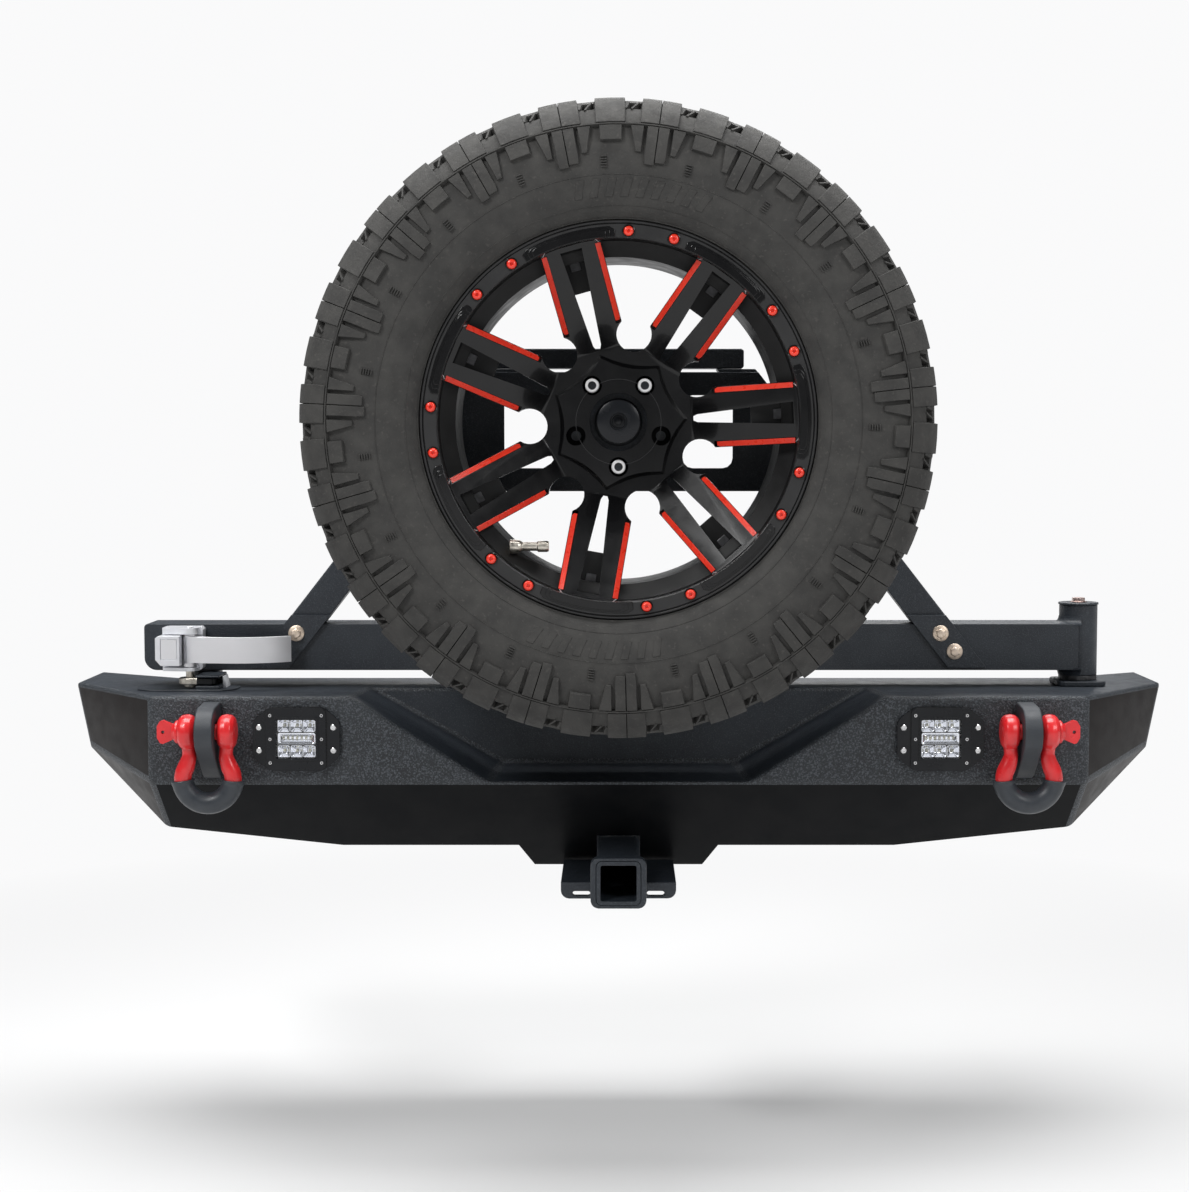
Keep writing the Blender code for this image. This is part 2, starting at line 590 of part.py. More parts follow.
def swing_arm(parent):
    front, back = ARM_FRONT_Y, ARM_FRONT_Y + ARM_DEEP
    low, high = ARM_Z - ARM_TALL / 2, ARM_Z + ARM_TALL / 2
    outer = rounded(front, low, back, high, 0.008)
    inner = rounded(front + ARM_WALL, low + ARM_WALL, back - ARM_WALL, high - ARM_WALL, 0.003)
    tube = hollow_prism("swing_arm_tube", outer, inner, "X", ARM_LEFT_X, ARM_RIGHT_X, parent, "powder_black")
    cut(tube, rod("sleeve_cope", "Z", SPINDLE, SLEEVE_R + GAP, 0.15, 0.32, steps=28))
    cap = rounded(front - 0.002, low - 0.001, back + 0.002, high + 0.001, 0.012)
    prism("arm_end_cap", cap, "X", ARM_LEFT_X - 0.0052, ARM_LEFT_X - GAP, parent, "powder_black")
    sleeve = sleeve_profile(SLEEVE_BORE_R, SLEEVE_R, SLEEVE_LOW_Z, SLEEVE_HIGH_Z)
    turned("pivot_sleeve", sleeve, "Z", SPINDLE, parent, "powder_black", 28)
    upper_z = SLEEVE_HIGH_Z - 0.001 - BEARING_TALL
    for name, z in (("bearing_lower", SLEEVE_LOW_Z + 0.001), ("bearing_upper", upper_z)):
        ring = sleeve_profile(BEARING_BORE_R, BEARING_R, z, z + BEARING_TALL)
        turned(name, ring, "Z", SPINDLE, parent, "bronze", 28)
    cap_z = SLEEVE_HIGH_Z + GAP
    disc = sleeve_profile(THREAD_R, SLEEVE_R + 0.0015, cap_z, cap_z + CAP_THICK)
    turned("spindle_cap", disc, "Z", SPINDLE, parent, "powder_black", 28)
    head_z = cap_z + CAP_THICK + GAP
    tip_z = SLEEVE_HIGH_Z - 0.034
    bolt = [(0, tip_z), (BOLT_R, tip_z), (BOLT_R, head_z), (BOLT_HEAD_R, head_z, True)]
    bolt += [(BOLT_HEAD_R, head_z + BOLT_HEAD, True), (0, head_z + BOLT_HEAD)]
    turned("spindle_bolt", bolt, "Z", SPINDLE, parent, "zinc", 24, loop=False)
    return tube


def leg_x(side, z):
    """The middle of a leg at a height. The legs lean towards each other."""
    return side * (LEG_X_AT_ARM - LEG_LEAN * (z - LEG_LOW_Z))


def frame_legs(parent, tube):
    half = LEG_WIDE / 2
    front, back = ARM_FRONT_Y + GAP, ARM_FRONT_Y + LEG_DEEP
    for side, name in ((1, "right"), (-1, "left")):
        x = leg_x(side, LEG_LOW_Z)
        lean = leg_x(side, LEG_HIGH_Z) - x
        right = [(half, front), (half, back), (half - LEG_WALL, back), (half - LEG_WALL, front + LEG_WALL)]
        channel = [(x + u, v) for u, v in right] + [(x - u, v) for u, v in reversed(right)]
        prism("frame_leg_" + name, channel, "Z", LEG_LOW_Z, LEG_HIGH_Z, parent, "powder_black", (lean, 0))
        low_x, high_x = leg_x(side, FOOT_LOW_Z), leg_x(side, FOOT_HIGH_Z)
        outline = [(low_x - half, FOOT_LOW_Z), (low_x + half, FOOT_LOW_Z)]
        outline += [(high_x + half, FOOT_HIGH_Z), (high_x - half, FOOT_HIGH_Z)]
        face = ARM_FRONT_Y - GAP - FOOT_THICK
        foot = prism("foot_plate_" + name, outline, "Y", face, ARM_FRONT_Y - GAP, parent, "powder_black")
        for number, z in enumerate(FOOT_BOLT_Z, 1):
            at = (leg_x(side, z), 0, z)
            ends = (face - 0.01, ARM_FRONT_Y + 0.009)
            hole = rod(f"bolt_hole_{name}_{number}", "Y", at, BOLT_R + 0.0004, *ends, steps=16)
            cut(foot, hole)
            cut(tube, hole)
            bolt = foot_bolt(face - GAP)
            turned(f"foot_bolt_{name}_{number}", bolt, "Y", at, parent, "zinc", 18, loop=False)


def foot_bolt(seat):
    """A flange bolt's profile: hexagonal head, flange and shank, from its front to its tip."""
    top, flange, tip = seat - 0.0105, seat - 0.003, ARM_FRONT_Y + 0.022
    head = [(0, top), (0.0095, top, True), (0.0100, flange, True), (0.0125, flange), (0.0130, seat)]
    return head + [(BOLT_R, seat), (BOLT_R, tip), (0, tip)]


def mount_reach(z):
    """Half the mount plate's width at a height: it ends flush with the legs' outer edges."""
    return leg_x(1, z) + LEG_WIDE / 2


def wheel_mount(parent):
    """The plate across the legs, the stand-off tube and the studded flange that the wheel bolts to."""
    face = ARM_FRONT_Y - GAP
    right = [(mount_reach(MOUNT_LOW_Z), MOUNT_LOW_Z), (mount_reach(MOUNT_HIGH_Z), MOUNT_HIGH_Z)]
    outline = right + [(-x, z) for x, z in reversed(right)]
    plate = prism("wheel_mount_plate", outline, "Y", face - MOUNT_THICK, face, parent, "powder_black")
    half = MOUNT_WINDOW_WIDE / 2
    for x in (MOUNT_WINDOW_X, -MOUNT_WINDOW_X):
        window = rounded(x - half, MOUNT_WINDOW_Z[0], x + half, MOUNT_WINDOW_Z[1], 0.015)
        cut(plate, prism("mount_window", window, "Y", face - 0.02, face + 0.02))
    bar = rounded(-CROSSBAR_X, CROSSBAR_Z[0], CROSSBAR_X, CROSSBAR_Z[1], 0.004, 2)
    bar_y = ARM_FRONT_Y + 0.001
    prism("top_crossbar", bar, "Y", bar_y, bar_y + CROSSBAR_DEEP, parent, "powder_black")
    outside, inside = STAND_OFF / 2, STAND_OFF / 2 - 0.005
    outer = square(0, WHEEL_Z, outside, outside, 0.008, 3)
    inner = square(0, WHEEL_Z, inside, inside, 0.003, 3)
    flange_y = MOUNT_FACE_Y + GAP
    flange_back = flange_y + FLANGE_THICK
    plate_y = face - MOUNT_THICK - GAP
    hollow_prism("stand_off_tube", outer, inner, "Y", flange_back + GAP, plate_y, parent, "powder_black")
    centre = (0, 0, WHEEL_Z)
    flange = rod("hub_flange", "Y", centre, FLANGE_R, flange_y, flange_back, parent, "powder_black", 32)
    for angle in USED_LUGS:
        ends = (HUB_FACE_Y - 0.008, flange_y + 0.006)
        stud = rod(f"stud_{angle}", "Y", lug_place(angle), STUD_R, *ends, steps=16)
        weld(flange, stud)
    front, back = HUB_FACE_Y - POST_LENGTH, MOUNT_FACE_Y - GAP
    button = front + POST_BUTTON_DEEP
    post = [(0, button), (POST_BUTTON_R, button), (POST_BUTTON_R, front), (POST_R - 0.001, front)]
    post += [(POST_R, front + 0.001), (POST_R, back), (0, back)]
    turned("centre_post", post, "Y", centre, parent, "plastic_black", 32, loop=False)


def lug_place(angle):
    a = math.radians(angle)
    return Vector((STUD_CIRCLE_R * math.cos(a), 0, WHEEL_Z + STUD_CIRCLE_R * math.sin(a)))


def latch_casting(parent):
    """A back plate with an ear above and below the handle's knuckle, and the block that covers the lock."""
    face = ARM_FRONT_Y - GAP
    ear_y, low, high = -0.176, KNUCKLE_Z[0] - 0.0067, KNUCKLE_Z[1] + 0.0117
    inside, room_low, room_high = -0.136, KNUCKLE_Z[0] - 0.0012, KNUCKLE_Z[1] + 0.0012
    ears = [(face, low), (face, high), (-0.148, high), (ear_y, high - 0.0035), (ear_y, room_high)]
    ears += [(inside, room_high), (inside, room_low), (ear_y, room_low), (ear_y, low + 0.0015)]
    ears += [(-0.150, low)]
    casting = prism("latch_casting", ears, "X", -0.688, -0.630, parent, "cast_aluminium")
    block = [(-0.694, -0.128), (-0.694, -0.185), (-0.689, -0.190), (-0.663, -0.190)]
    block += [(-0.659, -0.186), (-0.659, -0.128)]
    weld(casting, prism("lock_block", block, "Z", *LOCK_BLOCK_Z))
    cut(casting, rod("knuckle_room", "Z", LATCH, KNUCKLE_R + 0.001, room_low + 0.0005, room_high - 0.0005))
    cut(casting, rod("casting_bore", "Z", LATCH, LATCH_SHAFT_R + 0.0004, 0.19, 0.29))
    window = rounded(LOCK_COVER_X[0], LOCK_COVER_Z[0], LOCK_COVER_X[1], LOCK_COVER_Z[1], 0.001, 1)
    cut(casting, prism("lock_cover_recess", window, "Y", -0.200, -0.1885))


def latch_handle(parent):
    """The lever, its upright shaft and the claw under the arm, which turn together."""
    knuckle = sleeve_profile(LATCH_SHAFT_R + 0.0002, KNUCKLE_R, *KNUCKLE_Z)
    handle = turned("latch_handle", knuckle, "Z", LATCH, parent, "cast_aluminium", 24)
    u, v, bow_r = HANDLE_BOW
    outer = arc(u, v, bow_r, 239, 309, 11)
    inner = arc(u, v, bow_r - HANDLE_THICK, 309, 243, 11)
    bar = prism("handle_bar", outer + inner, "Z", *HANDLE_Z)
    cut(bar, rod("bar_bore", "Z", LATCH, 0.0075, 0.20, 0.28))
    weld(handle, bar)
    foot_z, head_z = CLAW_Z[0] - 0.003, KNUCKLE_Z[1] + 0.0122
    shaft = [(0, foot_z), (LATCH_SHAFT_R, foot_z), (LATCH_SHAFT_R, head_z), (0.0100, head_z + 0.0005, True)]
    shaft += [(0.0100, head_z + 0.0055, True), (0, head_z + 0.0055)]
    turned("latch_shaft", shaft, "Z", LATCH, parent, "steel", 24, loop=False)
    eye = arc(LATCH.x, LATCH.y, CLAW_EYE_R, 60, 300, 10)
    hook = arc(LATCH.x, LATCH.y, CLAW_REACH, -CLAW_SPREAD, CLAW_SPREAD, 5)
    claw = prism("latch_claw", eye + hook, "Z", *CLAW_Z, parent, "steel")
    cut(claw, rod("claw_bore", "Z", LATCH, LATCH_SHAFT_R + GAP, 0.17, 0.20))


# ---------------------------------------------------------------- spare wheel


def tire(parent):
    """A hollow tire: half its section from the tread to the bead and back inside, and its mirror image."""
    bead = ((BEAD_R, 0.1270), (BEAD_R, 0.1205), (SEAT_R + GAP, 0.1143), (SEAT_R + GAP, 0.090), (0.268, 0.090))
    half = TIRE_SECTION + bead + TIRE_LINER
    section = [(r, WHEEL_MID_Y - w) for r, w in half] + [(r, WHEEL_MID_Y + w) for r, w in reversed(half)]
    turned("tire", section, "Y", (0, 0, WHEEL_Z), parent, "tyre", 40)


def spoke(name, pair_angle, offset):
    """One spoke from the hub out to the lip: a sloping bar beside its pair's centreline."""
    shape = [(0.060, HUB_FACE_Y + 0.001), (0.105, HUB_FACE_Y - 0.002), (0.241, LIP_Y + 0.024)]
    shape += [(0.247, LIP_Y + 0.024)]
    shape += [(0.247, LIP_Y + 0.048), (0.105, MOUNT_FACE_Y - 0.001), (0.060, MOUNT_FACE_Y - 0.001)]
    helper = prism(name, shape, "X", offset - SPOKE_WIDE / 2, offset + SPOKE_WIDE / 2)
    # The outline's first number runs along Y and its second along Z, so it is laid out again radially.
    for vert in helper.data.vertices:
        across, out, depth = vert.co
        angle = math.radians(pair_angle)
        vert.co.x = out * math.cos(angle) - across * math.sin(angle)
        vert.co.y = depth
        vert.co.z = WHEEL_Z + out * math.sin(angle) + across * math.cos(angle)
    return helper


def rim(parent):
    outer = [(RIM_R, LIP_Y), (RIM_R, -0.440), (SEAT_R, -0.4345), (SEAT_R, -0.405), (0.234, -0.388)]
    outer += [(0.234, -0.252), (SEAT_R, -0.235), (SEAT_R, -0.2035), (RIM_R, -0.198), (RIM_R, -0.188)]
    inner = [(0.260, -0.188), (0.246, -0.206), (0.246, -0.238), (0.226, -0.258), (0.226, -0.384)]
    inner += [(0.244, -0.402), (0.247, LIP_Y + 0.004), (0.251, LIP_Y)]
    centre = (0, 0, WHEEL_Z)
    barrel = turned("wheel_rim", outer + inner, "Y", centre, parent, "wheel_black", 40)
    hub = [(BORE_R, HUB_FACE_Y), (HUB_R, HUB_FACE_Y), (HUB_R, MOUNT_FACE_Y), (BORE_R, MOUNT_FACE_Y)]
    tools = [turned("hub", hub, "Y", centre, steps=40)]
    for pair in range(SPOKE_PAIRS):
        angle = SPOKE_START_DEG + 360 * pair / SPOKE_PAIRS
        offset = (PAIR_WIDE - SPOKE_WIDE) / 2
        tools += [spoke(f"spoke_{pair}_a", angle, offset), spoke(f"spoke_{pair}_b", angle, -offset)]
    boolean_group(barrel, "wheel_centre", tools, "UNION")
    holes = []
    for angle in LUG_ANGLES:
        at = lug_place(angle)
        front, back = HUB_FACE_Y - 0.02, MOUNT_FACE_Y + 0.01
        profile = [(0, front), (LUG_RECESS_R, front), (LUG_RECESS_R, LUG_SEAT_Y), (LUG_HOLE_R, LUG_SEAT_Y)]
        profile += [(LUG_HOLE_R, back), (0, back)]
        holes.append(turned(f"lug_hole_{angle}", profile, "Y", at, steps=16, loop=False))
    boolean_group(barrel, "lug_holes", holes, "DIFFERENCE")
    for number, angle in enumerate(USED_LUGS, 1):
        bore, seat, front = STUD_R + GAP, LUG_SEAT_Y - GAP, LUG_SEAT_Y - 0.0232
        nut = [(bore, seat), (0.0098, seat), (0.0104, seat - 0.0037, True), (0.0110, front + 0.0012, True)]
        nut += [(0.0098, front), (bore, front)]
        turned(f"lug_nut_{number}", nut, "Y", lug_place(angle), parent, "steel", 18)


# ---------------------------------------------------------------- shackles


def bow_path():
    """The bow's centreline about the pin, from one ear round to the other."""
    down = [(EAR_X, 0.0), (0.0272, -0.016), (0.0268, -0.030), (0.0298, -0.044), (0.0346, -0.058)]
    bend = arc(0, BOW_DROP, BOW_WIDE, 0, -180, 12)
    up = [(-x, z) for x, z in reversed(down)]
    return down + bend + up


def shackle(side, name, parent):
    x = side * TAB_X
    centre = Vector((x, PIN_Y, PIN_Z))
    path = [centre + Vector((u, 0, v)) for u, v in bow_path()]
    bow = sweep("shackle_bow_" + name, path, (BOW_R,), 8, parent, "red_paint")
    at, half = (0, PIN_Y, PIN_Z), EAR_THICK / 2
    for end in (1, -1):
        middle = x + end * EAR_X
        weld(bow, rod(f"ear_{name}_{end}", "X", at, EAR_R, middle - half, middle + half, steps=20))
    cut(bow, rod("pin_hole_" + name, "X", at, PIN_R + GAP, x - 0.05, x + 0.05, steps=20))
    around = [centre + Vector((u, 0, v)) for u, v in arc(0, BOW_DROP, BOW_WIDE, -15, -165, 10)]
    sweep("shackle_isolator_" + name, around, (ISOLATOR_R, BOW_R + GAP), 8, parent, "rubber")
    screw_pin(side, name, centre, parent)


def screw_pin(side, name, centre, parent):
    """The pin through the tab and both ears, with its collar and the flat eye that turns it."""
    pin = [(0, -0.0405), (PIN_R, -0.0405), (PIN_R, 0.0408), (0.0165, 0.0408), (0.0165, 0.0440)]
    pin += [(0.0105, 0.0500), (0, 0.0500)]
    profile = [(r, side * h) for r, h in pin]
    body = turned("shackle_pin_" + name, profile, "X", centre, parent, "red_paint", 20, loop=False)
    upper = [(0.046, 0.007), (0.058, 0.0125), (0.068, 0.0125), (0.0715, 0.006)]
    eye = upper + [(u, -v) for u, v in reversed(upper)]
    outline = [(centre.x + side * u, centre.z + v) for u, v in eye]
    weld(body, prism("pin_wing_" + name, outline, "Y", PIN_Y - 0.0045, PIN_Y + 0.0045))
    hole_at = (centre.x + side * 0.0635, 0, centre.z)
    cut(body, rod("wing_hole_" + name, "Y", hole_at, 0.0022, PIN_Y - 0.02, PIN_Y + 0.02, steps=12))


def main():
    clear_scene()
    make_materials()
    bumper = empty("bumper", (0, 0, 0))
    arm = empty("arm", SPINDLE)
    wheel = empty("wheel", (0, WHEEL_MID_Y, WHEEL_Z), arm)
    latch = empty("latch", LATCH, arm)
    bumper_skin(bumper)
    brackets(bumper)
    receiver(bumper)
    shackle_tabs(bumper)
    lights(bumper)
    spindle(bumper)
    striker(bumper)
    tube = swing_arm(arm)
    frame_legs(arm, tube)
    wheel_mount(arm)
    latch_casting(arm)
    latch_handle(latch)
    tire(wheel)
    rim(wheel)
    for side, name in ((1, "right"), (-1, "left")):
        pivot = empty("shackle_" + name, (side * TAB_X, PIN_Y, PIN_Z))
        shackle(side, name, pivot)


main()
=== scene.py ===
"""Looks for the swing-out spare tire carrier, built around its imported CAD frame."""

import json
import math

import bmesh
import bpy
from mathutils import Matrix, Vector

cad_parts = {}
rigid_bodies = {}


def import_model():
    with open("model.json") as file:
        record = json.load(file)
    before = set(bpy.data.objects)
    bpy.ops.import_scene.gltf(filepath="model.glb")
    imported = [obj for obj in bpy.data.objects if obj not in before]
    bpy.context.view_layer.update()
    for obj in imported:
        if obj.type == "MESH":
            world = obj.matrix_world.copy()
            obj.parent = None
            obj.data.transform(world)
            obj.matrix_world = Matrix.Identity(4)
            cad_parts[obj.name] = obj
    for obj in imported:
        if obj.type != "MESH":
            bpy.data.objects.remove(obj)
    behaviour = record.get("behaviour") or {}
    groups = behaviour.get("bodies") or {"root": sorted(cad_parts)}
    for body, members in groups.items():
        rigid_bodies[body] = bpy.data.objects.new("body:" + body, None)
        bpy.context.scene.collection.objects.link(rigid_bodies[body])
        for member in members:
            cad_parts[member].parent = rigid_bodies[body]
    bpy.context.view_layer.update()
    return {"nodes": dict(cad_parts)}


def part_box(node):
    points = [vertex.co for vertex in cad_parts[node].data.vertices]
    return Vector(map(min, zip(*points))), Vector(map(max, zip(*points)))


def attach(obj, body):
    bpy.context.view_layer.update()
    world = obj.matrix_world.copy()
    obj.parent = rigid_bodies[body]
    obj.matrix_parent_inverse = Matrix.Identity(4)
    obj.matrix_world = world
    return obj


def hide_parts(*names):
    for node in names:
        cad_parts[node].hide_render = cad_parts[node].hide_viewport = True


for item in list(bpy.data.objects):
    bpy.data.objects.remove(item)
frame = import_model()

TAU = 2 * math.pi
SIDES = ((1, "right"), (-1, "left"))

# Driving dimensions, read from the frame where it has them.
TIRE_LOW, TIRE_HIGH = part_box("tire")
WHEEL = (TIRE_LOW + TIRE_HIGH) / 2
HUB = (WHEEL.x, 0, WHEEL.z)
SLEEVE_LOW, SLEEVE_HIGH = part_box("pivot_sleeve")
SPINDLE = (SLEEVE_LOW + SLEEVE_HIGH) / 2
ARM_LOW, ARM_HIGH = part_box("swing_arm_tube")
DECK_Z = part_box("top_plate")[1].z
FACE_Y = -0.250  # the flanks' outside
FLOOR_Z = -0.49
LAMP_X, LAMP_Z = 0.474, 0.1135
MERGE = 0.00002  # points closer than this are one point


# ---------------------------------------------------------------- camera, light and stage


BACKDROP = (0.955, 0.955, 0.96)
WORLD_LIGHT = 0.17


def make_camera():
    data = bpy.data.cameras.new("camera")
    data.lens = 63.4
    data.shift_x = -0.0201342282
    camera = bpy.data.objects.new("camera", data)
    bpy.context.scene.collection.objects.link(camera)
    camera.location = (0, -3.32, 0.5375)
    tilt_down = 3.98
    camera.rotation_euler = (math.radians(90 - tilt_down), 0, 0)
    bpy.context.scene.camera = camera


def area_light(name, at, target, size, power):
    data = bpy.data.lights.new(name, "AREA")
    data.shape = "RECTANGLE"
    data.size, data.size_y = size
    data.energy = power
    light = bpy.data.objects.new(name, data)
    bpy.context.scene.collection.objects.link(light)
    light.location = at
    light.rotation_euler = (Vector(target) - Vector(at)).to_track_quat("-Z", "Y").to_euler()


def make_lights():
    area_light("overhead", (0.0, -0.25, 3.0), (0, -0.2, 0.2), (3.6, 1.5), 150)
    area_light("key", (-2.1, -2.5, 2.9), (0, -0.2, 0.35), (1.0, 1.0), 80)
    area_light("fill", (2.5, -2.9, 2.3), (0, -0.2, 0.35), (1.4, 1.4), 44)
    area_light("back", (0.5, 3.0, 2.6), (0, 0, 0.4), (2.4, 1.6), 60)


def make_world():
    """A white studio: the backdrop itself is bright, the light that comes from it is weaker."""
    world = bpy.data.worlds.new("studio")
    bpy.context.scene.world = world
    world.use_nodes = True
    tree = world.node_tree
    glow = tree.nodes["Background"]
    glow.inputs["Color"].default_value = (0.95, 0.97, 1.0, 1)
    glow.inputs["Strength"].default_value = WORLD_LIGHT
    backdrop = tree.nodes.new("ShaderNodeBackground")
    backdrop.inputs["Color"].default_value = (*BACKDROP, 1)
    seen = tree.nodes.new("ShaderNodeLightPath")
    mix = tree.nodes.new("ShaderNodeMixShader")
    tree.links.new(seen.outputs["Is Camera Ray"], mix.inputs[0])
    tree.links.new(glow.outputs[0], mix.inputs[1])
    tree.links.new(backdrop.outputs[0], mix.inputs[2])
    tree.links.new(mix.outputs[0], tree.nodes["World Output"].inputs[0])
    bpy.context.scene.view_settings.view_transform = "Standard"


def make_floor():
    """A pale floor that turns into the backdrop's white away from the object."""
    bm = bmesh.new()
    bmesh.ops.create_circle(bm, cap_ends=True, segments=96, radius=60)
    floor = add_object("floor", bm)
    floor.location.z = FLOOR_Z
    material = surface("floor_pale", (0.66, 0.66, 0.66), 0.9, specular=0.1)
    floor.data.materials.append(material)
    tree = material.node_tree
    place = tree.nodes.new("ShaderNodeNewGeometry")
    distance = tree.nodes.new("ShaderNodeVectorMath")
    distance.operation = "LENGTH"
    tree.links.new(place.outputs["Position"], distance.inputs[0])
    white = tree.nodes.new("ShaderNodeEmission")
    white.inputs["Color"].default_value = (*BACKDROP, 1)
    mix = tree.nodes.new("ShaderNodeMixShader")
    tree.links.new(ramp(tree, distance.outputs["Value"], 0.7, 2.3, 0, 1), mix.inputs[0])
    tree.links.new(tree.nodes["Principled BSDF"].outputs[0], mix.inputs[1])
    tree.links.new(white.outputs[0], mix.inputs[2])
    tree.links.new(mix.outputs[0], tree.nodes["Material Output"].inputs[0])


# ---------------------------------------------------------------- materials


def pattern(tree, scale, detail, stretch=(1, 1, 1)):
    """A noise pattern in metres on the piece: the output runs from 0 to 1."""
    place = tree.nodes.new("ShaderNodeTexCoord").outputs["Object"]
    if stretch != (1, 1, 1):
        mapping = tree.nodes.new("ShaderNodeMapping")
        mapping.inputs["Scale"].default_value = stretch
        tree.links.new(place, mapping.inputs["Vector"])
        place = mapping.outputs[0]
    node = tree.nodes.new("ShaderNodeTexNoise")
    node.inputs["Detail"].default_value = detail
    node.inputs["Scale"].default_value = scale
    tree.links.new(place, node.inputs["Vector"])
    return node.outputs["Fac"]


def ramp(tree, value, low, high, start, end):
    """Maps low..high of a pattern to start..end, clamped."""
    node = tree.nodes.new("ShaderNodeMapRange")
    for name, number in (("From Min", low), ("From Max", high), ("To Min", start), ("To Max", end)):
        node.inputs[name].default_value = number
    tree.links.new(value, node.inputs["Value"])
    return node.outputs[0]


def blend_colours(tree, factor, first, second):
    node = tree.nodes.new("ShaderNodeMix")
    node.data_type = "RGBA"
    for socket, value in ((node.inputs[0], factor), (node.inputs[6], first), (node.inputs[7], second)):
        if isinstance(value, bpy.types.NodeSocket):
            tree.links.new(value, socket)
        else:
            socket.default_value = (*value, 1) if isinstance(value, tuple) else value
    return node.outputs[2]


def surface(name, colour, roughness, metallic=0.0, second=None, patches=18, rough_swing=0.0, bumps=(),
            flecks=None, coat=0.0, coat_roughness=0.1, specular=0.5, stretch=(1, 1, 1)):
    """A procedural finish. Each bump is (scale per metre, strength, depth in metres).

    second is the colour that large patches drift to.
    flecks is (colour, scale, threshold) of small light specks. stretch is how far each axis scales the bumps.
    """
    material = bpy.data.materials.new(name)
    material.use_nodes = True
    tree = material.node_tree
    shader = tree.nodes["Principled BSDF"]
    shader.inputs["Metallic"].default_value = metallic
    shader.inputs["Roughness"].default_value = roughness
    shader.inputs["Base Color"].default_value = (*colour, 1)
    shader.inputs["Coat Weight"].default_value = coat
    shader.inputs["Coat Roughness"].default_value = coat_roughness
    shader.inputs["Specular IOR Level"].default_value = specular
    paint = None
    if second:
        patch = ramp(tree, pattern(tree, patches, 4), 0.35, 0.65, 0, 1)
        paint = blend_colours(tree, patch, colour, second)
    if flecks:
        speck_colour, scale, threshold = flecks
        speck = ramp(tree, pattern(tree, scale, 3), threshold, threshold + 0.12, 0, 1)
        paint = blend_colours(tree, speck, paint or colour, speck_colour)
    if paint:
        tree.links.new(paint, shader.inputs["Base Color"])
    if rough_swing:
        swing = ramp(tree, pattern(tree, patches * 2.3, 5), 0.3, 0.7, roughness - rough_swing,
                     roughness + rough_swing)
        tree.links.new(swing, shader.inputs["Roughness"])
    normal = None
    for scale, strength, depth in bumps:
        bump = tree.nodes.new("ShaderNodeBump")
        bump.inputs["Strength"].default_value = strength
        bump.inputs["Distance"].default_value = depth
        height = pattern(tree, scale, 3, stretch)
        tree.links.new(height, bump.inputs["Height"])
        if normal:
            tree.links.new(normal, bump.inputs["Normal"])
        normal = bump.outputs[0]
    if normal:
        tree.links.new(normal, shader.inputs["Normal"])
    return material


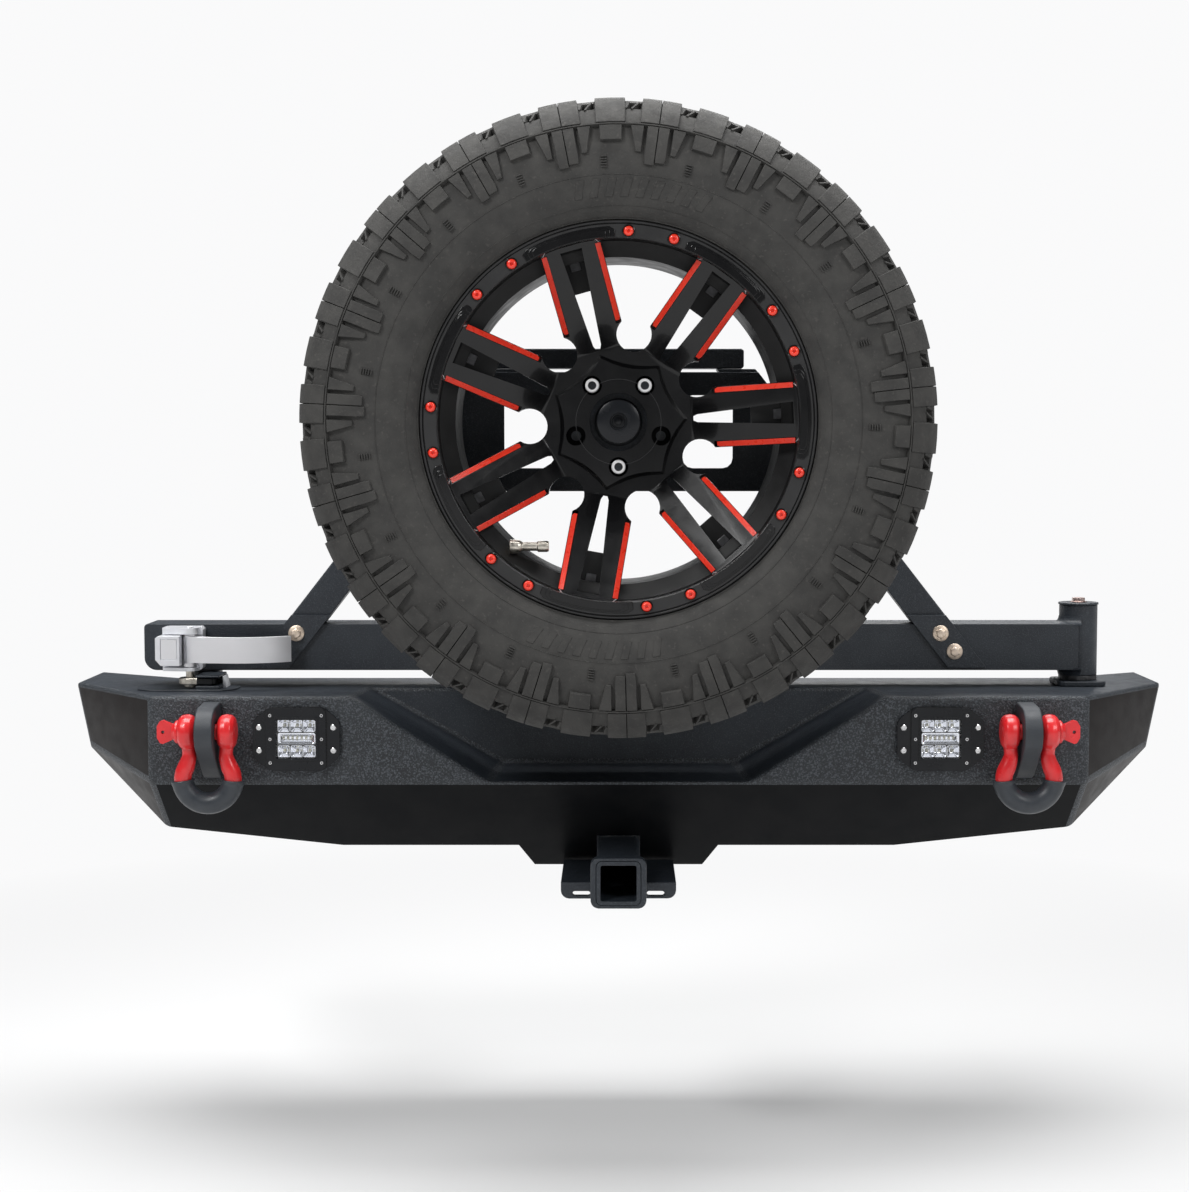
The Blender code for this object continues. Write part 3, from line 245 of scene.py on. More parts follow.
def make_materials():
    fine = (900, 0.35, 0.0006)
    return {
        "powder": surface("powder_coat", (0.0125, 0.0165, 0.023), 0.46, second=(0.018, 0.0235, 0.031),
                          rough_swing=0.07, bumps=((420, 0.5, 0.0008), fine),
                          flecks=((0.040, 0.048, 0.058), 560, 0.54)),
        "grain": surface("powder_coat_grained", (0.011, 0.0135, 0.017), 0.46, second=(0.016, 0.020, 0.025),
                         bumps=((430, 1.0, 0.0020), fine), flecks=((0.070, 0.080, 0.092), 470, 0.50)),
        # The lower panel's smooth powder coat. Its low specular is its own finish, but its base colour is
        # darker than the powder coat's as painted shade for the downward-facing panel under the bumper.
        "smooth": surface("powder_coat_smooth_painted_shade", (0.0045, 0.0050, 0.0060), 0.42,
                          second=(0.0075, 0.0078, 0.0085), specular=0.10,
                          rough_swing=0.06, bumps=((600, 0.25, 0.0005),)),
        "wing": surface("powder_coat_wing", (0.0085, 0.0066, 0.0064), 0.40, second=(0.012, 0.0095, 0.0090),
                        specular=0.14, rough_swing=0.06, bumps=((600, 0.25, 0.0005),)),
        "rubber_tire": surface("tire_rubber", (0.036, 0.0353, 0.0340), 0.72, second=(0.050, 0.0488, 0.0462),
                               patches=34,
                               rough_swing=0.08, bumps=((200, 0.5, 0.0012), (1100, 0.4, 0.0005)),
                               flecks=((0.060, 0.0575, 0.0540), 190, 0.60), specular=0.25),
        "wheel_gloss": surface("wheel_gloss_black", (0.0030, 0.0030, 0.0033), 0.22,
                               second=(0.0045, 0.0045, 0.005),
                               rough_swing=0.05, coat=0.3, coat_roughness=0.06, specular=0.25,
                               bumps=((70, 0.05, 0.0008),)),
        "wheel_satin": surface("wheel_satin_black", (0.013, 0.013, 0.0135), 0.42,
                               second=(0.018, 0.018, 0.0185),
                               rough_swing=0.06, bumps=((1100, 0.2, 0.0003),)),
        "barrel": surface("wheel_barrel_black", (0.003, 0.003, 0.0033), 0.42, second=(0.005, 0.005, 0.005),
                          specular=0.3, rough_swing=0.08, bumps=((50, 0.05, 0.0008),)),
        "accent": surface("accent_red", (0.85, 0.045, 0.018), 0.30, second=(0.78, 0.032, 0.014), patches=60,
                          rough_swing=0.05, coat=0.5, bumps=((500, 0.08, 0.0003),)),
        "shackle": surface("shackle_red", (0.72, 0.018, 0.022), 0.33, second=(0.62, 0.012, 0.016), patches=40,
                           rough_swing=0.07, coat=0.35, coat_roughness=0.2, bumps=((260, 0.25, 0.0006),)),
        "isolator": surface("isolator_rubber", (0.024, 0.029, 0.036), 0.42, second=(0.034, 0.040, 0.048),
                            patches=50, rough_swing=0.08, bumps=((800, 0.3, 0.0004),)),
        "plastic": surface("light_housing_black", (0.0060, 0.0070, 0.0090), 0.26,
                           second=(0.009, 0.010, 0.012), specular=0.28,
                           rough_swing=0.06, bumps=((1200, 0.25, 0.0003),)),
        "zinc_yellow": surface("yellow_zinc", (0.80, 0.66, 0.52), 0.40, 0.7, second=(0.72, 0.60, 0.50),
                               patches=130, rough_swing=0.1, bumps=((1500, 0.15, 0.0002),)),
        "steel": surface("bright_zinc", (0.78, 0.78, 0.78), 0.24, 1.0, second=(0.62, 0.62, 0.63), patches=160,
                         rough_swing=0.08, bumps=((1400, 0.15, 0.0002),)),
        "steel_cream": surface("plated_steel", (0.74, 0.70, 0.62), 0.36, 1.0, second=(0.52, 0.48, 0.42),
                               patches=120, rough_swing=0.1, bumps=((900, 0.2, 0.0003),)),
        "dark_steel": surface("dark_steel", (0.10, 0.10, 0.105), 0.45, 0.9, second=(0.06, 0.06, 0.062),
                              patches=90, rough_swing=0.1, bumps=((700, 0.25, 0.0004),)),
        "aluminium": surface("brushed_aluminium", (0.80, 0.80, 0.82), 0.40, 0.8, second=(0.78, 0.78, 0.80),
                             patches=30,
                             rough_swing=0.04, stretch=(0.02, 1, 1), bumps=((1300, 0.06, 0.0001),)),
        "cast": surface("cast_aluminium", (0.82, 0.83, 0.86), 0.40, 0.75, second=(0.77, 0.78, 0.81),
                        patches=50, rough_swing=0.05, bumps=((700, 0.10, 0.0002),)),
        "nut": surface("lug_nut_zinc", (0.80, 0.80, 0.80), 0.42, 0.35, second=(0.70, 0.70, 0.70), patches=200,
                       rough_swing=0.06, bumps=((1300, 0.12, 0.0002),)),
        "rose": surface("rose_zinc", (0.62, 0.45, 0.40), 0.32, 1.0, second=(0.50, 0.40, 0.38), patches=150,
                        rough_swing=0.1, bumps=((1300, 0.15, 0.0002),)),
        "isolator_plate": surface("tow_tab_black", (0.028, 0.033, 0.040), 0.52, second=(0.036, 0.041, 0.048),
                                  rough_swing=0.07, bumps=((500, 0.4, 0.0007),)),
        "bronze": surface("bronze", (0.50, 0.33, 0.16), 0.38, 1.0, second=(0.38, 0.25, 0.13), patches=120,
                          rough_swing=0.1, bumps=((900, 0.2, 0.0003),)),
        "chrome": surface("reflector_chrome", (0.90, 0.91, 0.94), 0.07, 1.0, second=(0.84, 0.85, 0.88),
                          patches=90),
        "led": surface("lamp_die", (0.90, 0.86, 0.62), 0.35, second=(0.95, 0.93, 0.80), patches=400),
        "lens": glass("lens_clear"),
    }


def glass(name):
    material = bpy.data.materials.new(name)
    material.use_nodes = True
    tree = material.node_tree
    shader = tree.nodes["Principled BSDF"]
    shader.inputs["Base Color"].default_value = (0.97, 0.98, 1.0, 1)
    shader.inputs["Roughness"].default_value = 0.02
    shader.inputs["IOR"].default_value = 1.45
    shader.inputs["Transmission Weight"].default_value = 1.0
    bump = tree.nodes.new("ShaderNodeBump")
    bump.inputs["Strength"].default_value = 0.05
    bump.inputs["Distance"].default_value = 0.0003
    tree.links.new(pattern(tree, 90, 1), bump.inputs["Height"])
    tree.links.new(bump.outputs[0], shader.inputs["Normal"])
    return material


# ---------------------------------------------------------------- mesh helpers


AXES = {
    "X": lambda u, v, h: Vector((h, u, v)),
    "Y": lambda u, v, h: Vector((u, h, v)),
    "Z": lambda u, v, h: Vector((u, v, h)),
}
LOOK = {}


def add_object(name, bm):
    """The bmesh as an object in the scene. The bmesh goes."""
    mesh = bpy.data.meshes.new(name)
    bm.to_mesh(mesh)
    bm.free()
    obj = bpy.data.objects.new(name, mesh)
    bpy.context.scene.collection.objects.link(obj)
    return obj


def piece(name, bm, body, look, replaces=(), bevel=0.0, segments=2, angle=30, smooth=35):
    """Makes a bmesh a piece of the object. look is one material's name, or several in slot order."""
    bmesh.ops.recalc_face_normals(bm, faces=bm.faces)
    obj = add_object(name, bm)
    for key in [look] if isinstance(look, str) else look:
        obj.data.materials.append(LOOK[key])
    obj.data.shade_smooth()
    obj.data.set_sharp_from_angle(angle=math.radians(smooth))
    if bevel:
        round_edges(obj, bevel, segments, angle)
    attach(obj, body)
    if replaces:
        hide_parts(*replaces)


def round_edges(obj, width, segments, angle):
    bevel = obj.modifiers.new("round", "BEVEL")
    bevel.width = width
    bevel.segments = segments
    bevel.limit_method = "ANGLE"
    bevel.angle_limit = math.radians(angle)
    bevel.harden_normals = False


def dress(node, look, bevel):
    """Keeps a CAD node and gives it a finish and slightly round edges."""
    obj = frame["nodes"][node]
    for slot in obj.material_slots:
        slot.material = LOOK[look]
    weld = obj.modifiers.new("weld", "WELD")
    weld.merge_threshold = MERGE
    flat = obj.modifiers.new("flat", "DECIMATE")
    flat.decimate_type = "DISSOLVE"
    flat.angle_limit = math.radians(1)
    round_edges(obj, bevel, 2, 25)


def bridge(bm, first, second):
    for i in range(len(first)):
        after = (i + 1) % len(first)
        bm.faces.new((first[i], first[after], second[after], second[i]))


def add_prism(bm, outline, axis, low, high):
    place = AXES[axis]
    near, far = ([bm.verts.new(place(u, v, height)) for u, v in outline] for height in (low, high))
    bm.faces.new(near)
    bm.faces.new(far[::-1])
    bridge(bm, far, near)


def prism(outline, axis, low, high):
    bm = bmesh.new()
    add_prism(bm, outline, axis, low, high)
    return bm


def add_turned(bm, profile, axis, centre, steps, loop=False):
    """Turns (radius, height) points about an axis. A third item of True makes that ring a hexagon."""
    place = AXES[axis]
    centre = Vector(centre)
    rings = []
    for radius, height, *hexagonal in profile:
        if radius == 0:
            rings.append([bm.verts.new(centre + place(0, 0, height))])
            continue
        ring = []
        for i in range(steps):
            angle = TAU * i / steps
            turn = (angle + math.pi / 6) % (math.pi / 3) - math.pi / 6
            reach = radius * math.cos(math.pi / 6) / math.cos(turn) if hexagonal else radius
            spot = place(reach * math.cos(angle), reach * math.sin(angle), height)
            ring.append(bm.verts.new(centre + spot))
        rings.append(ring)
    for first, second in zip(rings, rings[1:] + rings[:1] if loop else rings[1:]):
        if len(first) == 1 or len(second) == 1:
            tip, ring = (first[0], second) if len(first) == 1 else (second[0], first)
            for i in range(steps):
                bm.faces.new((tip, ring[i], ring[(i + 1) % steps]))
        else:
            bridge(bm, first, second)


def turned(profile, axis, centre, steps, loop=False):
    bm = bmesh.new()
    add_turned(bm, profile, axis, centre, steps, loop)
    return bm


def add_tube(bm, path, radius, sides):
    """A round bar along a path of points. radius is a function of the place along it, from 0 to 1."""
    rings = []
    last = len(path) - 1
    side = None
    for i, point in enumerate(path):
        ahead = (path[min(i + 1, last)] - path[max(i - 1, 0)]).normalized()
        if side is None:
            side = ahead.orthogonal().normalized()
        side = (side - ahead * side.dot(ahead)).normalized()
        other = ahead.cross(side)
        reach = radius(i / last)
        turns = [TAU * k / sides for k in range(sides)]
        spots = [point + reach * (math.cos(a) * side + math.sin(a) * other) for a in turns]
        rings.append([bm.verts.new(spot) for spot in spots])
    for first, second in zip(rings, rings[1:]):
        bridge(bm, first, second)
    bm.faces.new(rings[0][::-1])
    bm.faces.new(rings[-1])


def rounded(u0, v0, u1, v1, radius, steps):
    corners = ((u1 - radius, v1 - radius, 0), (u0 + radius, v1 - radius, 90))
    corners += ((u0 + radius, v0 + radius, 180), (u1 - radius, v0 + radius, 270))
    return [p for u, v, start in corners for p in arc(u, v, radius, start, start + 90, steps)]


def arc(u, v, radius, start, end, steps):
    angles = [math.radians(start + (end - start) * i / steps) for i in range(steps + 1)]
    return [(u + radius * math.cos(a), v + radius * math.sin(a)) for a in angles]


def carve(bm, cutter, operation="DIFFERENCE"):
    """Cuts the bmesh by another one, or joins them, and returns the result as a new bmesh. Both go."""
    held = []
    for source in (bm, cutter):
        bmesh.ops.recalc_face_normals(source, faces=source.faces)
        held.append(add_object("carve", source))
    boolean = held[0].modifiers.new("carve", "BOOLEAN")
    boolean.object = held[1]
    boolean.operation = operation
    boolean.solver = "EXACT"
    result = settled(held[0])
    discard(held[1])
    return result


def settled(obj):
    """The object's mesh with its modifiers applied, as a new bmesh. The object goes."""
    graph = bpy.context.evaluated_depsgraph_get()
    bm = bmesh.new()
    bm.from_mesh(bpy.data.meshes.new_from_object(obj.evaluated_get(graph), depsgraph=graph))
    discard(obj)
    return bm


def discard(obj):
    mesh = obj.data
    bpy.data.objects.remove(obj)
    bpy.data.meshes.remove(mesh)


def clean(bm, degrees=0.5):
    """Merges the points and flat faces that a Boolean leaves split."""
    bmesh.ops.remove_doubles(bm, verts=bm.verts, dist=MERGE)
    bmesh.ops.dissolve_limit(bm, angle_limit=math.radians(degrees), verts=bm.verts, edges=bm.edges)


# ---------------------------------------------------------------- bumper skin


def skin_corners():
    """The folded skin's corners on the right, by name, the same as the CAD plates have."""
    out, out_y = 0.82 * 0.155, 0.82 * 0.185
    return {
        "flank_top": (0.690, FACE_Y, 0.176),
        "flank_foot": (0.690, FACE_Y, 0.049),
        "recess_top": (0.396, FACE_Y, 0.176),
        "recess_foot": (0.192, FACE_Y, 0.049),
        "inner_top": (0.382, -0.130, 0.176),
        "inner_foot": (0.177, -0.130, 0.060),
        "tip": (0.845, -0.065, 0.176),
        "tip_back": (0.845, 0.090, 0.176),
        "deck_back": (0.700, 0.0, 0.176),
        "wing_foot": (0.690 + out, FACE_Y + out_y, 0.084),
        "wing_foot_back": (0.690 + out, 0.090, 0.084),
        "hem_end": (0.682, lower_y(-0.030), -0.030),
        "hem": (0.420, lower_y(-0.064), -0.064),
        "tab_top": (0.152, lower_y(-0.064), -0.064),
        "tab_foot": (0.129, lower_y(-0.100), -0.100),
        "notch_foot": (0.03295, lower_y(-0.100), -0.100),
        "notch_top": (0.03295, lower_y(-0.0465), -0.0465),
    }


def lower_y(z):
    """How far back the lower panel is at a height."""
    return FACE_Y + (0.049 - z) / 1.13


# The faces that cross the middle and those on each side: corners, and the material's place in the list.
SKIN_SHARED = (
    (["inner_top", "recess_top", "flank_top", "tip", "tip_back", "deck_back"], 1),
    (["notch_top", "notch_foot", "tab_foot", "tab_top", "hem", "hem_end", "flank_foot", "recess_foot"], 2),
    (["recess_foot", "inner_foot"], 1),
    (["inner_foot", "inner_top"], 1),
)
SKIN_SIDED = (
    (["recess_top", "recess_foot", "flank_foot", "flank_top"], 0),
    (["inner_top", "inner_foot", "recess_foot", "recess_top"], 1),
    (["flank_top", "flank_foot", "wing_foot", "tip"], 3),
    (["flank_foot", "hem_end", "wing_foot"], 3),
    (["tip", "wing_foot", "wing_foot_back", "tip_back"], 3),
)
SKIN_NODES = ("top_plate", "lower_panel", "recess_panel", "flank_plate_right", "flank_plate_left",
              "wing_plate_right", "wing_plate_left")
PLATE = 0.0048


def make_skin():
    """One folded sheet: soft bends, then its thickness inwards, then the windows for the lights."""
    bm = bmesh.new()
    made = {}
    for name, (x, y, z) in skin_corners().items():
        for side, _ in SIDES:
            made[name, side] = bm.verts.new((side * x, y, z))
    for names, look in SKIN_SHARED:
        ring = [made[n, 1] for n in names] + [made[n, -1] for n in reversed(names)]
        bm.faces.new(ring).material_index = look
    for side, _ in SIDES:
        for names, look in SKIN_SIDED:
            bm.faces.new([made[n, side] for n in names]).material_index = look
    bmesh.ops.recalc_face_normals(bm, faces=bm.faces)
    centre = Vector((0, 0.2, 0.05))
    if sum((f.calc_center_median() - centre).dot(f.normal) * f.calc_area() for f in bm.faces) < 0:
        bmesh.ops.reverse_faces(bm, faces=bm.faces)
    bends = [e for e in bm.edges if len(e.link_faces) == 2 and e.calc_face_angle(0) > 0.1]
    bmesh.ops.bevel(bm, geom=bends, offset=0.0065, segments=4, affect="EDGES", profile=0.5,
                    clamp_overlap=True)
    shell = add_object("skin", bm)
    thick = shell.modifiers.new("thickness", "SOLIDIFY")
    thick.thickness = PLATE
    thick.offset = -1
    thick.use_even_offset = True
    windows = bmesh.new()
    half = 0.0375
    for side, _ in SIDES:
        x = side * LAMP_X
        window = rounded(x - half, LAMP_Z - half, x + half, LAMP_Z + half, 0.006, 3)
        add_prism(windows, window, "Y", FACE_Y - 0.02, FACE_Y + 0.02)
    # The lower panel's look ("smooth") carries painted shade in its darker base colour.
    looks = ("grain", "powder", "smooth", "wing")
    piece("bumper_skin", carve(settled(shell), windows), "bumper", looks, SKIN_NODES,
          bevel=0.0009, angle=40)


# ---------------------------------------------------------------- tire


CARCASS = ((0.4290, 0.0), (0.4288, 0.040), (0.4280, 0.080), (0.4255, 0.108), (0.4200, 0.126), (0.4110, 0.138),
           (0.4000, 0.1455), (0.3860, 0.1500), (0.3700, 0.1530), (0.3550, 0.1545), (0.3400, 0.1545),
           (0.3250, 0.1530),
           (0.3100, 0.1500), (0.2960, 0.1455), (0.2850, 0.1400), (0.2770, 0.1330), (0.2722, 0.1260))
LINER = ((0.2718, 0.1205), (0.2556, 0.1180), (0.2556, 0.1000), (0.2640, 0.0980), (0.2900, 0.1270),
         (0.3400, 0.1420), (0.3950, 0.1300), (0.4130, 0.1000), (0.4160, 0.0))
GROUPS = 19
PITCH = TAU / GROUPS / 2
FIRST_PAD = math.radians(186.3)


def lane(along):
    """(radius, offset, normal) outside the tire, so far along its section from the middle of the tread."""
    points = [Vector(p) for p in CARCASS]
    normals = []
    for i in range(len(points)):
        ahead = points[min(i + 1, len(points) - 1)] - points[max(i - 1, 0)]
        normals.append(Vector((ahead.y, -ahead.x)).normalized())
    for i in range(len(points) - 1):
        length = (points[i + 1] - points[i]).length
        if along <= length or i == len(points) - 2:
            share = along / length
            normal = normals[i].lerp(normals[i + 1], share).normalized()
            return points[i].lerp(points[i + 1], share), normal
        along -= length


def on_tire(angle, along, aside, lift, side):
    """A point on the tire, aside metres round it from the angle and lift metres off its surface."""
    point, normal = lane(along)
    radius, offset = point + normal * lift
    turn = angle + aside / radius
    return Vector((radius * math.cos(turn), -side * offset, radius * math.sin(turn)))


def add_block(bm, side, angle, stations, draft=0.0018, columns=1):
    """A rubber block whose walls splay by the draft.

    Each station is (place along the section, left, right, height).
    """
    root = -0.001
    tops, bases = [], []
    for i, (along, left, right, lift) in enumerate(stations):
        end = -draft if i == 0 else draft if i == len(stations) - 1 else 0
        low, wide = left - draft, right - left + 2 * draft
        top = [left + (right - left) * c / columns for c in range(columns + 1)]
        tops.append([bm.verts.new(WHEEL + on_tire(angle, along, aside, lift, side)) for aside in top])
        base = [low + wide * c / columns for c in range(columns + 1)]
        bases.append([bm.verts.new(WHEEL + on_tire(angle, along + end, aside, root, side)) for aside in base])
    for i in range(len(stations) - 1):
        for c in range(columns):
            bm.faces.new((tops[i][c], tops[i][c + 1], tops[i + 1][c + 1], tops[i + 1][c]))
            bm.faces.new((bases[i][c], bases[i + 1][c], bases[i + 1][c + 1], bases[i][c + 1]))
        bm.faces.new((bases[i][0], tops[i][0], tops[i + 1][0], bases[i + 1][0]))
        bm.faces.new((bases[i][-1], bases[i + 1][-1], tops[i + 1][-1], tops[i][-1]))
    for c in range(columns):
        bm.faces.new((bases[0][c], bases[0][c + 1], tops[0][c + 1], tops[0][c]))
        bm.faces.new((bases[-1][c], tops[-1][c], tops[-1][c + 1], bases[-1][c + 1]))


def shoulder_block(split):
    """The stations of a block over the shoulder: a blunt point on the tread, full width on the sidewall."""
    half = 0.0265 if split else 0.0205
    outline = ((0.067, 0.35, 0.0125), (0.078, 0.80, 0.0132), (0.088, 1.0, 0.0132), (0.106, 1.0, 0.0130),
               (0.118, 1.0, 0.0118), (0.130, 0.99, 0.0104), (0.143, 0.97, 0.0092), (0.1585, 0.95, 0.0076))
    if not split:
        return [[(s, -half * share, half * share, lift) for s, share, lift in outline]]
    left = [(s, -half * share, -0.0007, lift) for s, share, lift in outline]
    right = [(s, 0.0007, half * share, lift) for s, share, lift in outline]
    return [left, right]


def add_treads(bm):
    for count in range(2 * GROUPS):
        for side in (1, -1):
            angle = FIRST_PAD + PITCH * (count + 0.5 * (side < 0))
            for stations in shoulder_block(count % 2):
                add_block(bm, side, angle, stations, columns=2)
            # The tie bar between two shoulder blocks, with a pit and a slanted fin in it.
            between = angle + PITCH / 2
            shift = 0.0030 if count % 2 else -0.0030
            low, high = shift - 0.0118, shift + 0.0118
            add_block(bm, side, between, [(0.080, low + 0.004, high - 0.004, 0.0078),
                                          (0.090, low, high, 0.0088),
                                          (0.106, low, high, 0.0086), (0.119, low, high, 0.0076)],
                      draft=0.0008)
            add_block(bm, side, between, [(0.137, low, high, 0.0062), (0.148, low, high, 0.0054),
                                          (0.1585, low, high, 0.0048)], draft=0.0008)
            add_block(bm, side, between, [(0.1175, shift - 0.0085, shift - 0.0055, 0.0090),
                                          (0.1385, shift + 0.0010, shift + 0.0040, 0.0080)], draft=0.0004)
            add_block(bm, side, between, [(0.119, high - 0.0065, high, 0.0095),
                                          (0.137, high - 0.0030, high, 0.0080)], draft=0.0004)
            # Two centre blocks, skewed and staggered against the shoulder.
            skew = 0.35
            lean = [(0.0035, 0.0085), (0.018, 0.0150), (0.040, 0.0160), (0.060, 0.0095)]
            for low, high in ((-1, -0.05), (0.05, 1)):
                stations = [(s, skew * s + low * half, skew * s + high * half, 0.0133) for s, half in lean]
                add_block(bm, side, between, stations, draft=0.0014)
            low_lean = [(0.030, 0.0060), (0.046, 0.0100), (0.058, 0.0065)]
            stations = [(s, skew * s - half, skew * s + half, 0.0130) for s, half in low_lean]
            add_block(bm, side, angle + PITCH * 0.06, stations, draft=0.0014)


def add_biters(bm):
    """On each sidewall, a double finger between wedges under a split block, and a pad under a whole one."""
    for count in range(GROUPS):
        for side in (1, -1):
            pad = FIRST_PAD + PITCH * (2 * count + 0.5 * (side < 0))
            middle = pad + PITCH
            for turn in (1, -1):
                root = sorted((turn * 0.0007, turn * 0.0148))
                body = sorted((turn * 0.0007, turn * 0.0142))
                tip = sorted((turn * 0.0007, turn * 0.0128))
                reach = 0.2125 if turn > 0 else 0.2090
                add_block(bm, side, middle, [(0.1625, *root, 0.0066), (0.180, *body, 0.0062),
                                             (0.202, *body, 0.0050), (reach, *tip, 0.0040)], draft=0.0007)
                wedge = sorted((turn * 0.0205, turn * 0.0375))
                waist = sorted((turn * 0.0205, turn * 0.0325))
                point = sorted((turn * 0.0200, turn * 0.0268))
                add_block(bm, side, middle, [(0.1625, *wedge, 0.0064), (0.178, *waist, 0.0056),
                                             (0.1965, *point, 0.0036)], draft=0.0007)
            add_block(bm, side, pad, [(0.1625, -0.0148, 0.0148, 0.0068), (0.1815, -0.0140, 0.0140, 0.0060)],
                      draft=0.0009, columns=2)
            for row in range(5):
                line = 0.2020 + 0.0034 * row
                add_block(bm, side, pad + 0.030, [(line, -0.0040, 0.0040, 0.0026),
                                                  (line + 0.0013, -0.0040, 0.0040, 0.0026)], draft=0.0003)


def add_marks(bm):
    """Plain slanted bars where a tire carries its lettering."""
    for side in (1, -1):
        for start in (math.radians(68), math.radians(248)):
            for count in range(9):
                angle = start + count * 0.068
                stations = [(0.232, -0.0050, 0.0050, 0.0011), (0.256, 0.0010, 0.0110, 0.0011)]
                add_block(bm, side, angle, stations, draft=0.0005)


def add_ring(bm, side, along, wide, lift):
    """A low raised ring round the sidewall."""
    steps = 152
    rows = []
    for s, height in ((along - wide, -0.0005), (along - wide / 2, lift), (along + wide / 2, lift),
                      (along + wide, -0.0005)):
        spots = [on_tire(TAU * i / steps, s, 0, height, side) for i in range(steps)]
        rows.append([bm.verts.new(WHEEL + spot) for spot in spots])
    for first, second in zip(rows, rows[1:] + rows[:1]):
        bridge(bm, first, second)


def make_tire():
    bm = bmesh.new()
    half = list(CARCASS) + list(LINER)
    section = [(r, -w) for r, w in half] + [(r, w) for r, w in reversed(half[1:-1])]
    add_turned(bm, section, "Y", WHEEL, steps=190, loop=True)
    add_treads(bm)
    add_biters(bm)
    add_marks(bm)
    for side in (1, -1):
        for along, wide, lift in ((0.1605, 0.0016, 0.0070), (0.2265, 0.0007, 0.0007),
                                  (0.2680, 0.0007, 0.0007),
                                  (0.2900, 0.0012, 0.0010), (0.2960, 0.0008, 0.0008)):
            add_ring(bm, side, along, wide, lift)
    piece("spare_tire", bm, "wheel", "rubber_tire", ["tire"], bevel=0.0009, angle=32)


# ---------------------------------------------------------------- wheel


SPOKES = 7
STEP = TAU / SPOKES
FIRST_SPOKE = math.radians(2.8)
ARM_EDGE = 0.0425
CHAMFER, CHAMFER_DROP = 0.0090, 0.0055
DISH = ((0.030, -0.3270), (0.104, -0.3290), (0.247, -0.4340))
DISH_BACK = ((0.247, -0.4020), (0.112, -0.3085), (0.030, -0.3080))
LUG_R = 0.0635
LUG_TURNS = (270, 342, 54, 126, 198)
NUT_TURNS = (270, 54, 126)


def on_wheel(radius, turn, y=0.0):
    return (WHEEL.x + radius * math.cos(turn), y, WHEEL.z + radius * math.sin(turn))


def spoke_frame(turn):
    """Places (along the spoke, across it, y) in the wheel's plane."""
    along, across = Vector((math.cos(turn), 0, math.sin(turn))), Vector((-math.sin(turn), 0, math.cos(turn)))
    return lambda e, t, y: Vector(HUB) + along * e + across * t + Vector((0, y, 0))


def add_slab(bm, place, outline, low, high):
    """A prism through the wheel: outline of (along, across), between two y."""
    near, far = ([bm.verts.new(place(e, t, y)) for e, t in outline] for y in (low, high))
    bm.faces.new(near)
    bm.faces.new(far[::-1])
    bridge(bm, far, near)


def add_star(bm, corner, waist, y, back, grow):
    """The raised hub: a star with a corner on each spoke's middle and hollow edges between them."""
    rings = []
    for extra, level in ((0.0, y), (grow, back)):
        ring = []
        for i in range(SPOKES):
            for share in (0, 0.2, 0.4, 0.6, 0.8):
                turn = FIRST_SPOKE + STEP * (i + share)
                near = abs(2 * share - 1)
                radius = waist + (corner - waist) * near ** 2.2 + extra
                ring.append(bm.verts.new(on_wheel(radius, turn, level)))
        rings.append(ring)
    bm.faces.new(rings[0])
    bm.faces.new(rings[1][::-1])
    bridge(bm, rings[1], rings[0])


def window_outline():
    """The window between two double spokes: a keyhole end, then edges parallel to the spokes."""
    centre, radius, reach = 0.126, 0.0250, 0.300
    cos, sin = math.cos(STEP / 2), math.sin(STEP / 2)

    def on_edge(along):
        return along * cos + ARM_EDGE * sin, along * sin - ARM_EDGE * cos

    meet_e, meet_t = on_edge(centre * cos + math.sqrt(radius ** 2 - (centre * sin - ARM_EDGE) ** 2))
    start = math.degrees(math.atan2(meet_t, meet_e - centre))
    far_e, far_t = on_edge(reach)
    return arc(centre, 0, radius, start, 360 - start, 20) + [(far_e, -far_t), (far_e, far_t)]


